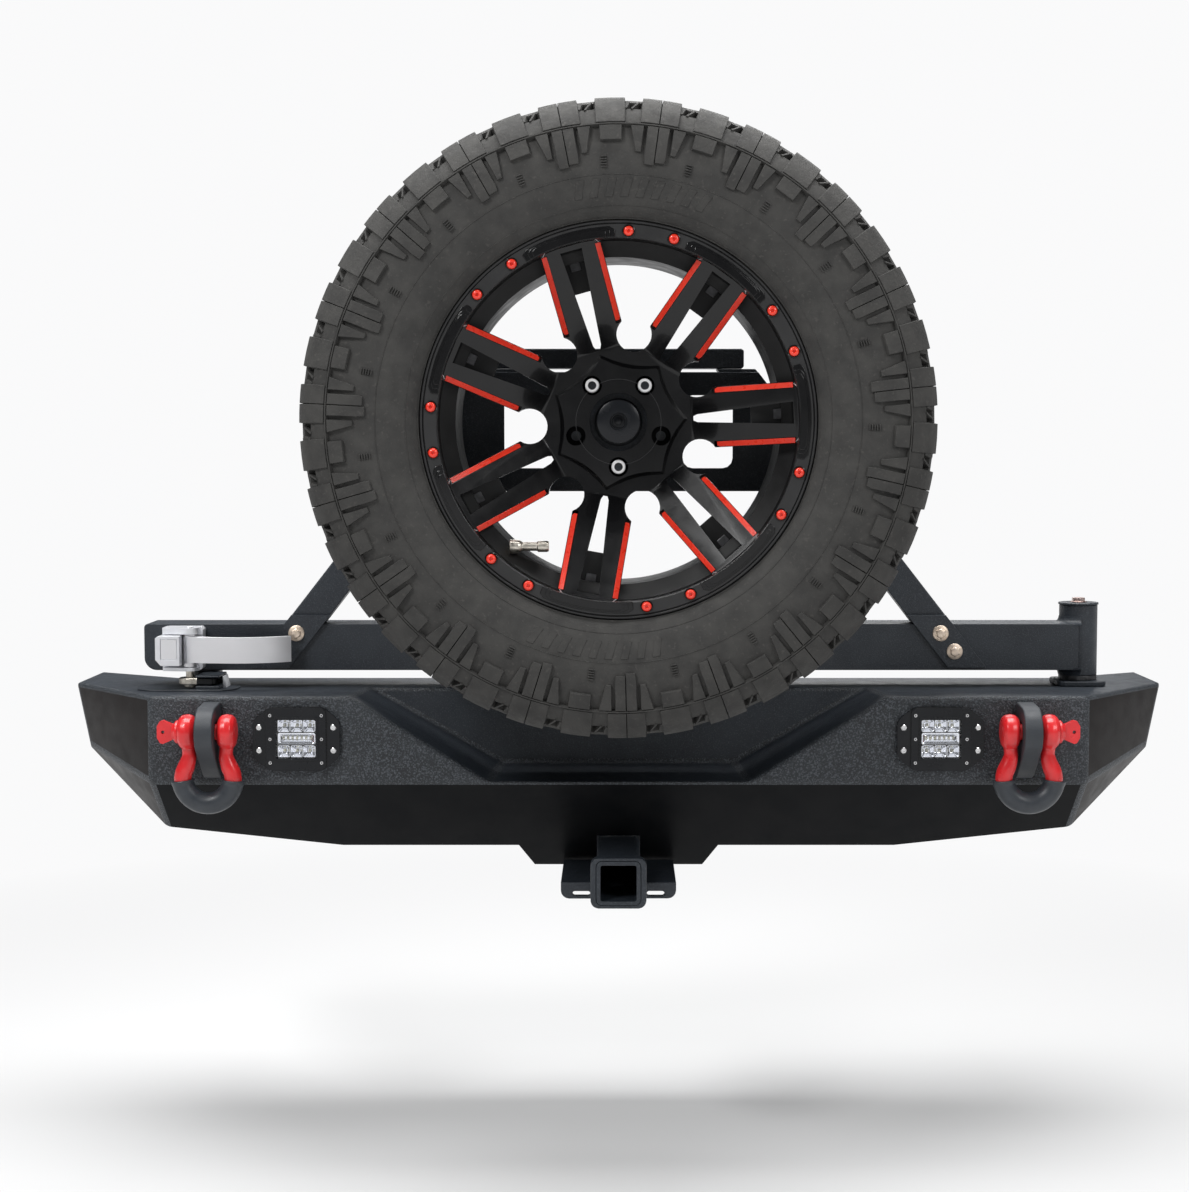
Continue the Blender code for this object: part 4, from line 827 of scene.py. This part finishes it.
def make_spokes():
    bm = bmesh.new()
    rings = []
    for apothem, y in DISH + DISH_BACK:
        radius = apothem / math.cos(STEP / 2)
        turns = [FIRST_SPOKE + STEP * (i + 0.5) for i in range(SPOKES)]
        rings.append([bm.verts.new(on_wheel(radius, a, y)) for a in turns])
    for first, second in zip(rings, rings[1:] + rings[:1]):
        bridge(bm, first, second)
    star = bmesh.new()
    add_star(star, 0.0930, 0.0770, -0.3372, -0.3200, 0.0110)
    bm = carve(bm, star, "UNION")

    holes = bmesh.new()
    for i in range(SPOKES):
        add_slab(holes, spoke_frame(FIRST_SPOKE + STEP * (i + 0.5)), window_outline(), -0.50, -0.25)
        slot = spoke_frame(FIRST_SPOKE + STEP * i)
        mouth = [(0.2405, 0.0152), (0.2405, -0.0152), (0.1120, -0.0056), (0.1065, -0.0030),
                 (0.1065, 0.0030), (0.1120, 0.0056)]
        add_slab(holes, slot, mouth, -0.50, -0.25)
    add_turned(holes, [(0, -0.40), (0.0410, -0.40), (0.0410, -0.25), (0, -0.25)], "Y", HUB, 64)
    for turn in LUG_TURNS:
        profile = [(0, -0.40), (0.0138, -0.40), (0.0138, -0.3185), (0.0072, -0.3120), (0.0072, -0.25),
                   (0, -0.25)]
        add_turned(holes, profile, "Y", on_wheel(LUG_R, math.radians(turn)), 32)
    bm = carve(bm, holes)

    chamfers = bmesh.new()
    slope = (DISH[2][1] - DISH[1][1]) / (DISH[2][0] - DISH[1][0])
    for i in range(SPOKES):
        place = spoke_frame(FIRST_SPOKE + STEP * i)
        for turn in (1, -1):
            rows = []
            for e in (0.1335, 0.2425):
                y = DISH[1][1] + slope * (e - DISH[1][0])
                corners = ((ARM_EDGE - CHAMFER, 0.0), (ARM_EDGE - CHAMFER, -0.02), (ARM_EDGE + 0.008, -0.02),
                           (ARM_EDGE + 0.008, CHAMFER_DROP * (1 + 0.008 / CHAMFER)))
                rows.append([chamfers.verts.new(place(e, turn * t, y + d)) for t, d in corners])
            chamfers.faces.new(rows[0])
            chamfers.faces.new(rows[1][::-1])
            bridge(chamfers, rows[1], rows[0])
    bm = carve(bm, chamfers)
    clean(bm)
    piece("wheel_spokes", bm, "wheel", "wheel_gloss", ["wheel_rim"], bevel=0.0019,
          segments=3, angle=22)

    strips = bmesh.new()
    for i in range(SPOKES):
        place = spoke_frame(FIRST_SPOKE + STEP * i)
        for turn in (1, -1):
            rows = []
            for e, narrow in ((0.1375, 0.0022), (0.1415, 0.0), (0.2375, 0.0), (0.2415, 0.0)):
                y = DISH[1][1] + slope * (e - DISH[1][0])
                ring = []
                for share, lift in ((0.10, -0.0010), (0.92, -0.0010), (0.92, 0.0015), (0.10, 0.0015)):
                    across = CHAMFER * share - (narrow if share > 0.5 else 0)
                    drop = CHAMFER_DROP * across / CHAMFER + lift
                    ring.append(strips.verts.new(place(e, turn * (ARM_EDGE - CHAMFER + across), y + drop)))
                rows.append(ring)
            strips.faces.new(rows[0])
            strips.faces.new(rows[-1][::-1])
            for first, second in zip(rows, rows[1:]):
                bridge(strips, second, first)
    piece("wheel_accents", strips, "wheel", "accent", bevel=0.0005)


def make_rim():
    section = [(0.2475, -0.4485), (0.2490, -0.4500), (0.2655, -0.4500), (0.2664, -0.4492), (0.2670, -0.4472),
               (0.2676, -0.4492), (0.2684, -0.4500), (0.2700, -0.4500), (0.2711, -0.4488), (0.2711, -0.4410),
               (0.2660, -0.4385), (0.2545, -0.4335), (0.2545, -0.4050), (0.2340, -0.3880), (0.2340, -0.2520),
               (0.2545, -0.2350), (0.2545, -0.2050), (0.2660, -0.2000), (0.2711, -0.1970), (0.2711, -0.1890),
               (0.2690, -0.1880), (0.2640, -0.1880), (0.2600, -0.1900), (0.2500, -0.2000), (0.2475, -0.2350),
               (0.2280, -0.2530), (0.2270, -0.2600), (0.2270, -0.3860), (0.2475, -0.4040)]
    bm = turned(section, "Y", HUB, 144, loop=True)
    for face in bm.faces:
        face.material_index = 1 if face.calc_center_median().y < -0.4465 else 0
    piece("wheel_barrel", bm, "wheel", ("barrel", "wheel_satin"), ["wheel_rim"], smooth=28)


def make_ring_parts():
    """What stands on the rim's face and in the spokes' slots, and thin bright rods at the spokes' ends that
    are painted highlights.
    """
    pads, rivets, seats, bosses, glint_rods, floors = (bmesh.new() for _ in range(6))
    for i in range(SPOKES):
        turn = FIRST_SPOKE + STEP * i
        for spread, low, high, front in ((14.6, 0.2478, 0.2630, -0.4514), (13.1, 0.2478, 0.2608, -0.4528),
                                         (11.8, 0.2478, 0.2588, -0.4542)):
            add_pad(pads, turn, math.radians(spread), low, high, front)
        for shift in (-7, 7):
            at = on_wheel(0.2566, turn + STEP / 2 + math.radians(shift))
            add_turned(rivets, [(0, -0.4515), (0.0020, -0.4515, True), (0.0024, -0.4540, True),
                                (0.0030, -0.4546),
                                (0.0046, -0.4544), (0.0060, -0.4534), (0.0068, -0.4516), (0.0068, -0.4490),
                                (0, -0.4490)], "Y", at, 24)
            add_turned(seats, [(0.0070, -0.4490), (0.0070, -0.4512), (0.0077, -0.4520), (0.0086, -0.4517),
                               (0.0090, -0.4500), (0.0090, -0.4490)], "Y", at, 28, loop=True)
        place = spoke_frame(turn)
        add_slab(bosses, place, rounded(0.2160, -0.0075, 0.2280, 0.0075, 0.0012, 2), -0.3830, -0.3600)
        add_slab(floors, place, rounded(0.1850, -0.0178, 0.2440, 0.0178, 0.0030, 3), -0.3800, -0.3740)
        # Thin bright aluminium rods along each spoke end's corners: painted highlights for the glints there.
        for side in (1, -1):
            edge = [place(0.2418, side * (ARM_EDGE - 0.0030), -0.4335),
                    place(0.2470, side * (ARM_EDGE - 0.0075), -0.4440),
                    place(0.2486, side * (ARM_EDGE - 0.0150), -0.4506)]
            add_tube(glint_rods, edge, lambda share: 0.0006 + 0.0012 * math.sin(math.pi * share), 6)
    piece("wheel_ring_pads", pads, "wheel", "wheel_gloss", bevel=0.0009, segments=3)
    piece("wheel_rivets", rivets, "wheel", "accent", bevel=0.0003, segments=1)
    piece("wheel_rivet_seats", seats, "wheel", "wheel_gloss")
    piece("wheel_slot_floors", floors, "wheel", "barrel", bevel=0.0006)
    piece("wheel_bosses", bosses, "wheel", "dark_steel", bevel=0.0006)
    piece("wheel_glint_rods", glint_rods, "wheel", "aluminium", smooth=60)


def add_pad(bm, turn, spread, low, high, front):
    """A raised sector on the ring face, with its outer corners cut off."""
    steps, back = 14, -0.4490
    cut = spread - 0.028
    corner = (low + high) / 2 + 0.003
    outer = [(high, -cut + 2 * cut * k / steps) for k in range(steps + 1)]
    inner = [(low, spread - 2 * spread * k / steps) for k in range(steps + 1)]
    outline = outer + [(corner, spread)] + inner + [(corner, -spread)]
    add_prism(bm, [on_wheel(r, turn + a)[::2] for r, a in outline], "Y", front, back)


def make_hub_parts():
    nut = [(0.0052, -0.3360), (0.0052, -0.3384), (0.0060, -0.3392), (0.0088, -0.3392), (0.0098, -0.3384),
           (0.0104, -0.3350, True), (0.0104, -0.3220, True), (0.0104, -0.3200), (0.0100, -0.3163),
           (0.0067, -0.3163), (0.0067, -0.3345)]
    for number, turn in enumerate(NUT_TURNS, 1):
        at = on_wheel(LUG_R, math.radians(turn))
        bm = turned(nut, "Y", at, 48, loop=True)
        for face in bm.faces:
            middle = face.calc_center_median() - Vector(at)
            reach = math.hypot(middle.x, middle.z)
            face.material_index = 1 if reach < 0.0060 or middle.y > -0.3345 and reach < 0.008 else 0
        piece(f"wheel_nut_{number}", bm, "wheel", ("nut", "dark_steel"), [f"lug_nut_{number}"])

    profile = [(0, -0.3870), (0.0040, -0.3870), (0.0050, -0.3862), (0.0080, -0.3862), (0.0092, -0.3885),
               (0.0108, -0.3885),
               (0.0116, -0.3962), (0.0125, -0.3970), (0.0286, -0.3970), (0.0297, -0.3962), (0.0300, -0.3945),
               (0.0300, -0.3160), (0.0340, -0.3150), (0.0340, -0.3083), (0, -0.3083)]
    piece("hub_post", turned(profile, "Y", HUB, 72), "arm", "plastic", ["centre_post"],
          smooth=40)
    low, high = 0.0600, 0.0608
    line = [(low, -0.33725), (low, -0.33755), (high, -0.33755), (high, -0.33725)]
    piece("hub_line", turned(line, "Y", HUB, 96, loop=True), "wheel", "wheel_satin")


def make_valve():
    at = (-0.147, -0.400, WHEEL.z - 0.1735)
    profile = [(0, -0.004), (0.0095, -0.004), (0.0095, 0.006), (0.0080, 0.011), (0.0062, 0.013),
               (0.0062, 0.034), (0.0078, 0.035), (0.0078, 0.047), (0.0068, 0.050), (0, 0.050)]
    piece("wheel_valve", turned(profile, "X", at, 32), "wheel", "steel_cream", bevel=0.0004)


# ---------------------------------------------------------------- swing arm


def make_arm():
    """The beam, rounded at its free end; at the post it runs into the sleeve wall."""
    left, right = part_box("arm_end_cap")[0].x, SPINDLE.x - 0.0070
    low, high = ARM_LOW.z, ARM_HIGH.z
    outline = [(right, low), (right, high), *arc(left + 0.006, high - 0.006, 0.006, 90, 180, 4),
               *arc(left + 0.019, low + 0.019, 0.019, 180, 270, 10)]
    axis = (SPINDLE.x, SPINDLE.y, 0)
    bore = turned([(0, low - 0.01), (0.0310, low - 0.01), (0.0310, high + 0.01), (0, high + 0.01)], "Z",
                  axis, 96)
    bm = carve(prism(outline, "Y", ARM_LOW.y, ARM_HIGH.y), bore)
    piece("arm_beam", bm, "arm", "powder", ["swing_arm_tube", "arm_end_cap"], bevel=0.0062,
          segments=5, angle=50)

    radius, inside = SLEEVE_HIGH.x - SPINDLE.x, 0.0247
    low, high = SLEEVE_LOW.z, SLEEVE_HIGH.z
    profile = [(inside, low), (radius - 0.001, low), (radius, low + 0.001), (radius, high - 0.0012),
               (radius - 0.0012, high), (inside, high)]
    sleeve = turned(profile, "Z", axis, 96, loop=True)
    piece("arm_pivot_sleeve", sleeve, "arm", "powder", ["pivot_sleeve"])

    cap_low, cap_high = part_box("spindle_cap")
    rim, low, high = cap_high.x - SPINDLE.x, cap_low.z, cap_high.z
    cap = turned([(0, low), (rim, low), (rim, high - 0.0008), (rim - 0.0008, high), (0, high)], "Z", axis, 96)
    piece("arm_pivot_cap", cap, "arm", "powder", ["spindle_cap"])

    bolt = turned([(0, high), (0.0128, high), (0.0132, high + 0.0006), (0.0128, high + 0.0014),
                   (0.0104, high + 0.0016),
                   (0.0104, high + 0.0018, True), (0.0104, high + 0.0058, True), (0.0092, high + 0.0070),
                   (0, high + 0.0070)], "Z", axis, 48)
    piece("arm_pivot_bolt", bolt, "arm", "rose", ["spindle_bolt"], bevel=0.0003)

    welds = bmesh.new()
    for level, way in ((ARM_HIGH.z - 0.0012, 1), (ARM_LOW.z + 0.0012, -1)):
        add_fillet(welds, level, way, radius - 0.0004)
    piece("arm_sleeve_welds", welds, "arm", "powder", smooth=50)


def add_fillet(bm, level, way, radius):
    """The hollow weld between the sleeve and the beam's top or bottom face."""
    section = ((0, -0.002), (0.0115, -0.002), (0.0110, 0.0008), (0.0068, 0.0016), (0.0036, 0.0036),
               (0.0018, 0.0068), (0.0010, 0.0110), (0, 0.0112))
    rings = []
    for k in range(25):
        a = math.radians(94 + 172 * k / 24)
        ripple = 1 + 0.05 * math.sin(k * 2.4)
        rings.append([bm.verts.new((SPINDLE.x + (radius + u * ripple) * math.cos(a),
                                    SPINDLE.y + (radius + u * ripple) * math.sin(a), level + way * v))
                      for u, v in section])
    for first, second in zip(rings, rings[1:]):
        bridge(bm, first, second)
    bm.faces.new(rings[0])
    bm.faces.new(rings[-1][::-1])


def make_foot_bolts():
    for _, word in SIDES:
        for number in (1, 2):
            node = f"foot_bolt_{word}_{number}"
            low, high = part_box(node)
            seat = low.y + 0.0105
            profile = [(0, seat - 0.0088), (0.0056, seat - 0.0088), (0.0064, seat - 0.0084),
                       (0.0074, seat - 0.0074, True),
                       (0.0074, seat - 0.0026, True), (0.0080, seat - 0.0021), (0.0110, seat - 0.0018),
                       (0.0120, seat - 0.0012), (0.0123, seat - 0.0006), (0.0123, seat), (0, seat)]
            bm = turned(profile, "Y", ((low.x + high.x) / 2, 0, (low.z + high.z) / 2), 48)
            piece(f"arm_foot_bolt_{word}_{number}", bm, "arm", "zinc_yellow", [node], bevel=0.0002,
                  segments=1)


# ---------------------------------------------------------------- latch


LATCH = Vector((-0.648, -0.160, 0))
BODY_LOW, BODY_HIGH = 0.2045, 0.2700
ROOM_LOW, ROOM_HIGH = 0.2099, 0.2601


def make_latch():
    back = [(-0.6900, BODY_LOW), (-0.6345, BODY_LOW), (-0.6310, 0.2075), (-0.6300, 0.2655),
            (-0.6330, BODY_HIGH), (-0.6860, BODY_HIGH), (-0.6915, 0.2640), (-0.6915, 0.2060)]
    front = [(-0.6940, 0.2235), (-0.6860, 0.2145), (-0.6580, 0.2145), (-0.6580, 0.2588), (-0.6905, 0.2588),
             (-0.6940, 0.2560)]
    bm = carve(prism(back, "Y", -0.1500, -0.1253), prism(front, "Y", -0.1900, -0.1300), "UNION")
    nose = arc(LATCH.x, LATCH.y, 0.0135, 250, 360, 10)
    ear = [(-0.6880, -0.1300), (-0.6880, -0.1660), *nose, (LATCH.x + 0.0135, -0.1300)]
    for low, high in ((BODY_LOW, ROOM_LOW - 0.0001), (ROOM_HIGH + 0.0001, BODY_HIGH)):
        bm = carve(bm, prism(ear, "Z", low, high), "UNION")
    room = [(0, ROOM_LOW), (0.0124, ROOM_LOW), (0.0124, ROOM_HIGH), (0, ROOM_HIGH)]
    bm = carve(bm, turned(room, "Z", LATCH, 48))
    bm = carve(bm, prism(rounded(-0.6865, 0.2235, -0.6612, 0.2550, 0.0010, 2), "Y", -0.200, -0.1876))
    clean(bm)
    piece("latch_body", bm, "arm", "cast", ["latch_casting"], bevel=0.0016, segments=3,
          angle=25)
    cover = prism(rounded(-0.6856, 0.2244, -0.6621, 0.2541, 0.0012, 3), "Y", -0.1893, -0.1870)
    piece("latch_lock_cover", cover, "arm", "aluminium", bevel=0.0007)

    # The lever seen from above: a bowed bar whose root thickens into a rounded end over the pivot.
    centre, radius = (-0.5765, -0.0550), 0.1290
    outline = arc(*centre, radius, 262, 309, 26) + arc(*centre, radius - 0.009, 309, 252, 26)
    outline += arc(LATCH.x, LATCH.y, 0.0104, 60, 240, 18)
    outline += [(-0.6500, -0.1728), (-0.6300, -0.1778), (-0.6120, -0.1812)]
    knuckle = [(0, 0.2102), (0.0092, 0.2102), (0.0100, 0.2110), (0.0100, 0.2590), (0.0092, 0.2598),
               (0, 0.2598)]
    lever = carve(prism(outline, "Z", 0.2175, 0.2565), turned(knuckle, "Z", LATCH, 48), "UNION")
    clean(lever, 0.3)
    piece("latch_lever", lever, "latch", "aluminium", ["latch_handle"], bevel=0.0034,
          segments=3, angle=40)

    profile = [(0, 0.1800), (0.0080, 0.1800), (0.0090, 0.1808, True), (0.0090, 0.1842, True),
               (0.0062, 0.1846),
               (0.0062, 0.2704), (0.0076, 0.2706), (0.0072, 0.2716), (0.0040, 0.2722), (0, 0.2722)]
    shaft = turned(profile, "Z", LATCH, 48)
    for face in shaft.faces:
        face.material_index = 1 if face.calc_center_median().z > ROOM_HIGH else 0
    piece("latch_pivot_shaft", shaft, "latch", ("steel_cream", "cast"), ["latch_shaft"],
          bevel=0.0003)

    # The claw: a plated tail and eye; its hook end, which stands in the striker, is coloured black as painted
    # shade for the shadow inside the striker.
    shade_start_x = -0.6355
    eye = arc(LATCH.x, LATCH.y, 0.0165, 60, 300, 24)
    hook = arc(LATCH.x, LATCH.y, 0.0400, -24, 24, 12)
    claw = prism(eye + hook, "Z", 0.1846, 0.1944)
    whole = claw.verts[:] + claw.edges[:] + claw.faces[:]
    bmesh.ops.bisect_plane(claw, geom=whole, plane_co=(shade_start_x, 0, 0), plane_no=(1, 0, 0))
    # Faces past this x take the black look: painted shade inside the striker.
    for face in claw.faces:
        face.material_index = 1 if face.calc_center_median().x > shade_start_x else 0
    piece("latch_hook", claw, "latch", ("steel_cream", "plastic"), ["latch_claw"], bevel=0.0012)

    gusset = prism([(-0.5998, 0.1763), (-0.5940, 0.1763), (-0.5985, 0.1955), (-0.5998, 0.1955)], "Y",
                   -0.1560, -0.1200)
    piece("latch_striker_gusset", gusset, "bumper", "cast", bevel=0.0005)
    plate = prism(rounded(-0.7280, -0.1880, -0.5760, -0.1120, 0.0300, 10), "Z", DECK_Z, DECK_Z + 0.0022)
    piece("latch_deck_plate", plate, "bumper", "powder", bevel=0.0008)


# ---------------------------------------------------------------- shackles


TAB_X, PIN_Y, PIN_Z = 0.598, -0.288, 0.1285
EAR_X = 0.0288  # from the tab's middle to each ear's
BEND_R, BEND_Z = 0.0368, -0.068


def bow_middle():
    """The bow's centreline about the pin, from one ear round to the other."""
    leg = ((EAR_X, 0.0), (0.0276, -0.022), (0.0270, -0.036), (0.0310, -0.050), (0.0356, -0.060))
    knots = [Vector((u, 0, v)) for u, v in leg]
    down = []
    for i in range(len(knots) - 1):
        before, here = knots[max(i - 1, 0)], knots[i]
        there, after = knots[i + 1], knots[min(i + 2, len(knots) - 1)]
        for k in range(6):
            t = k / 6
            square = 2 * before - 5 * here + 4 * there - after
            cube = 3 * here - before - 3 * there + after
            down.append(0.5 * (2 * here + (there - before) * t + square * t ** 2 + cube * t ** 3))
    bend = [Vector((u, 0, v)) for u, v in arc(0, BEND_Z, BEND_R, 0, -180, 36)]
    up = [Vector((-v.x, 0, v.z)) for v in reversed(down)]
    return down + bend + up


def bow_radius(share):
    """Thin at the necks under the ears, thick round the bottom."""
    off = abs(share - 0.5) * 2
    return 0.0126 if off < 0.56 else 0.0126 - 0.0026 * min(1, (off - 0.56) / 0.20)


def make_shackle(side, word):
    centre = Vector((side * TAB_X, PIN_Y, PIN_Z))
    body = "shackle_" + word
    bm = bmesh.new()
    add_tube(bm, [centre + v for v in bow_middle()], bow_radius, 24)
    lobe = [(0, -0.0138), (0.0125, -0.0137), (0.0200, -0.0120), (0.0246, -0.0076), (0.0260, 0.0),
            (0.0246, 0.0076), (0.0200, 0.0120), (0.0125, 0.0137), (0, 0.0138)]
    for end in (1, -1):
        add_turned(bm, lobe, "X", centre + Vector((end * EAR_X, 0, 0)), 36)
    bmesh.ops.recalc_face_normals(bm, faces=bm.faces)
    rough = add_object("forging", bm)
    remesh = rough.modifiers.new("forge", "REMESH")
    remesh.mode = "VOXEL"
    remesh.voxel_size = 0.0013
    relax = rough.modifiers.new("relax", "SMOOTH")
    relax.factor = 0.5
    relax.iterations = 7
    piece(body + "_forging", settled(rough), body, "shackle", ["shackle_bow_" + word], smooth=80)

    cover = bmesh.new()
    around = [centre + Vector((u, 0, v)) for u, v in arc(0, BEND_Z, BEND_R, -4, -176, 60)]
    lip = lambda t: 0.0168 if min(t, 1 - t) < 0.035 else 0.0158 if min(t, 1 - t) > 0.06 else 0.0162
    add_tube(cover, around, lip, 32)
    piece(body + "_cover", cover, body, "isolator", ["shackle_isolator_" + word], bevel=0.0012,
          angle=50)

    profile = [(0, -0.0405), (0.0100, -0.0405), (0.0120, -0.0390), (0.0120, 0.0408), (0.0158, 0.0410),
               (0.0168, 0.0420),
               (0.0168, 0.0446), (0.0156, 0.0462), (0.0125, 0.0480), (0.0115, 0.0500), (0, 0.0500)]
    pin = turned([(r, side * h) for r, h in profile], "X", centre, 48)
    upper = [(0.046, 0.0090), (0.0525, 0.0122), (0.0640, 0.0172), (0.0680, 0.0160), (0.0725, 0.0085),
             (0.0725, 0.0)]
    eye = upper + [(u, -v) for u, v in reversed(upper[:-1])]
    wing = prism([(centre.x + side * u, centre.z + v) for u, v in eye], "Y", PIN_Y - 0.0050, PIN_Y + 0.0050)
    hole = turned([(0, -0.33), (0.0026, -0.33), (0.0026, -0.25), (0, -0.25)], "Y",
                  (centre.x + side * 0.0640, 0, centre.z), 20)
    pin = carve(pin, carve(wing, hole), "UNION")
    bmesh.ops.remove_doubles(pin, verts=pin.verts, dist=MERGE)
    piece(body + "_screw_pin", pin, body, "shackle", ["shackle_pin_" + word], bevel=0.0012,
          segments=3, angle=40)

    nose = arc(PIN_Y, PIN_Z, 0.037, 100, 215, 40)
    outline = [(FACE_Y + 0.001, 0.168), *nose, (-0.262, 0.060), (FACE_Y + 0.001, 0.054)]
    left, right = centre.x - 0.03, centre.x + 0.03
    bore = turned([(0, left), (0.0135, left), (0.0135, right), (0, right)], "X", (0, PIN_Y, PIN_Z), 40)
    tab = carve(prism(outline, "X", centre.x - 0.013, centre.x + 0.013), bore)
    piece("tow_tab_" + word, tab, "bumper", "isolator_plate", ["shackle_tab_" + word],
          bevel=0.0020, segments=3, angle=40)


# ---------------------------------------------------------------- lights


def soft_octagon(wide, tall, cut_x, cut_z, radius):
    """A rectangle with its corners cut off and every corner then rounded."""
    corners = [(wide, -cut_z), (wide, cut_z), (cut_x, tall), (-cut_x, tall), (-wide, cut_z), (-wide, -cut_z),
               (-cut_x, -tall), (cut_x, -tall)]
    outline = []
    for i, corner in enumerate(corners):
        here, before, after = Vector(corner), Vector(corners[i - 1]), Vector(corners[(i + 1) % 8])
        start, end = here + (before - here).normalized() * radius, here + (after - here).normalized() * radius
        for k in range(5):
            t = k / 4
            point = start * (1 - t) ** 2 + here * 2 * t * (1 - t) + end * t ** 2
            outline.append((point.x, point.y))
    return outline


def make_light(side, word):
    """A cast body, its bezel and screws, and three rows of lamp dice in reflectors behind a clear lens."""
    centre_x = side * LAMP_X

    def block(outline, front, back):
        return prism([(centre_x + u, LAMP_Z + v) for u, v in outline], "Y", front, back)

    housing = block(rounded(-0.0440, -0.0462, 0.0440, 0.0462, 0.0085, 6), -0.2586, -0.2500)
    housing = carve(housing, block(rounded(-0.0325, -0.0320, 0.0325, 0.0320, 0.0020, 3), -0.2598, -0.2580),
                    "UNION")
    housing = carve(housing, block(rounded(-0.0362, -0.0362, 0.0362, 0.0362, 0.005, 4), -0.2510, -0.1920),
                    "UNION")
    flange = block(soft_octagon(0.0640, 0.0475, 0.0390, 0.0270, 0.0075), -0.2556, -0.2502)
    flange = carve(flange, housing, "UNION")
    flange = carve(flange, block(rounded(-0.0290, -0.0285, 0.0290, 0.0285, 0.0015, 2), -0.27, -0.2380))
    clean(flange)
    piece("light_housing_" + word, flange, "bumper", "plastic", ["light_body_" + word],
          bevel=0.0016, segments=3)

    screws = bmesh.new()
    large = [(u, v, 0.0046, -0.2575) for u in (-0.0545, 0.0545) for v in (-0.017, 0.017)]
    small = [(u, v, 0.0028, -0.2599) for u in (-0.0378, 0.0378) for v in (-0.0350, 0, 0.0350)]
    for u, v, radius, front in large + small:
        seat = front + 0.0030
        profile = [(0, front + 0.0013), (radius * 0.42, front + 0.0013, True), (radius * 0.48, front, True),
                   (radius * 0.80, front), (radius, front + 0.0010), (radius, seat), (0, seat)]
        add_turned(screws, profile, "Y", (centre_x + u, 0, LAMP_Z + v), 24)
    piece("light_screws_" + word, screws, "bumper", "steel")

    chrome = bmesh.new()
    dies = bmesh.new()
    front, back, rim = -0.2512, -0.2425, 0.0005
    cells = [(u, v, 0.0083, 0.0083, 0.0030, 0.0030) for u in (-0.0186, 0, 0.0186) for v in (-0.0188, 0.0188)]
    cells.append((0, 0, 0.0268, 0.0080, 0.0205, 0.0022))
    for u, v, wide, tall, in_wide, in_tall in cells:
        single = in_wide < 0.01
        waist = in_wide * (1.9 if single else 1.12)
        rings = []
        for a, b, y in ((wide + rim, tall + rim, back - rim), (wide + rim, tall + rim, front),
                        (wide, tall, front),
                        (waist, in_tall * 1.9, front + 0.0045), (in_wide, in_tall, back - 0.0010)):
            corners = rounded(u - a, v - b, u + a, v + b, min(a, b) * 0.30, 4)
            rings.append([chrome.verts.new((centre_x + x, y, LAMP_Z + z)) for x, z in corners])
        for first, second in zip(rings, rings[1:]):
            bridge(chrome, first, second)
        chrome.faces.new(rings[0][::-1])
        chrome.faces.new(rings[-1])
        for x, z in [(u, v)] if single else [(k * 0.0066, 0) for k in range(-3, 4)]:
            x, z, half = centre_x + x, LAMP_Z + z, 0.0016
            add_prism(dies, rounded(x - half, z - half, x + half, z + half, 0.0004, 2), "Y", back - 0.0022,
                      back)
    piece("light_reflectors_" + word, chrome, "bumper", "chrome", smooth=50)
    piece("light_dies_" + word, dies, "bumper", "led", bevel=0.0002)
    dress("light_lens_" + word, "lens", 0.0004)


# ---------------------------------------------------------------- plates and fittings kept from the frame


def dress_frame():
    for node, look, bevel in (
        ("crossmember_plate", "powder", 0.0010), ("receiver_tube", "powder", 0.0016),
        ("receiver_collar", "powder", 0.0030),
        ("spindle_base_plate", "powder", 0.0016), ("wheel_mount_plate", "powder", 0.0010),
        ("top_crossbar", "powder", 0.0020),
        ("stand_off_tube", "powder", 0.0016), ("hub_flange", "powder", 0.0010),
        ("latch_striker", "powder", 0.0012),
        ("arm_rest_pad", "isolator", 0.0020), ("thrust_washer", "dark_steel", 0.0006),
        ("spindle_shaft", "dark_steel", 0.0006),
        ("bearing_lower", "bronze", 0.0005), ("bearing_upper", "bronze", 0.0005)):
        dress(node, look, bevel)
    for _, word in SIDES:
        for node, bevel in (("chain_plate_", 0.0014), ("frame_bracket_", 0.0010), ("frame_leg_", 0.0016),
                            ("foot_plate_", 0.0011)):
            dress(node + word, "powder", bevel)


make_camera()
make_world()
make_lights()
LOOK.update(make_materials())
make_floor()
make_skin()
make_tire()
make_spokes()
make_rim()
make_ring_parts()
make_hub_parts()
make_valve()
make_arm()
make_foot_bolts()
make_latch()
for side, word in SIDES:
    make_shackle(side, word)
    make_light(side, word)
dress_frame()
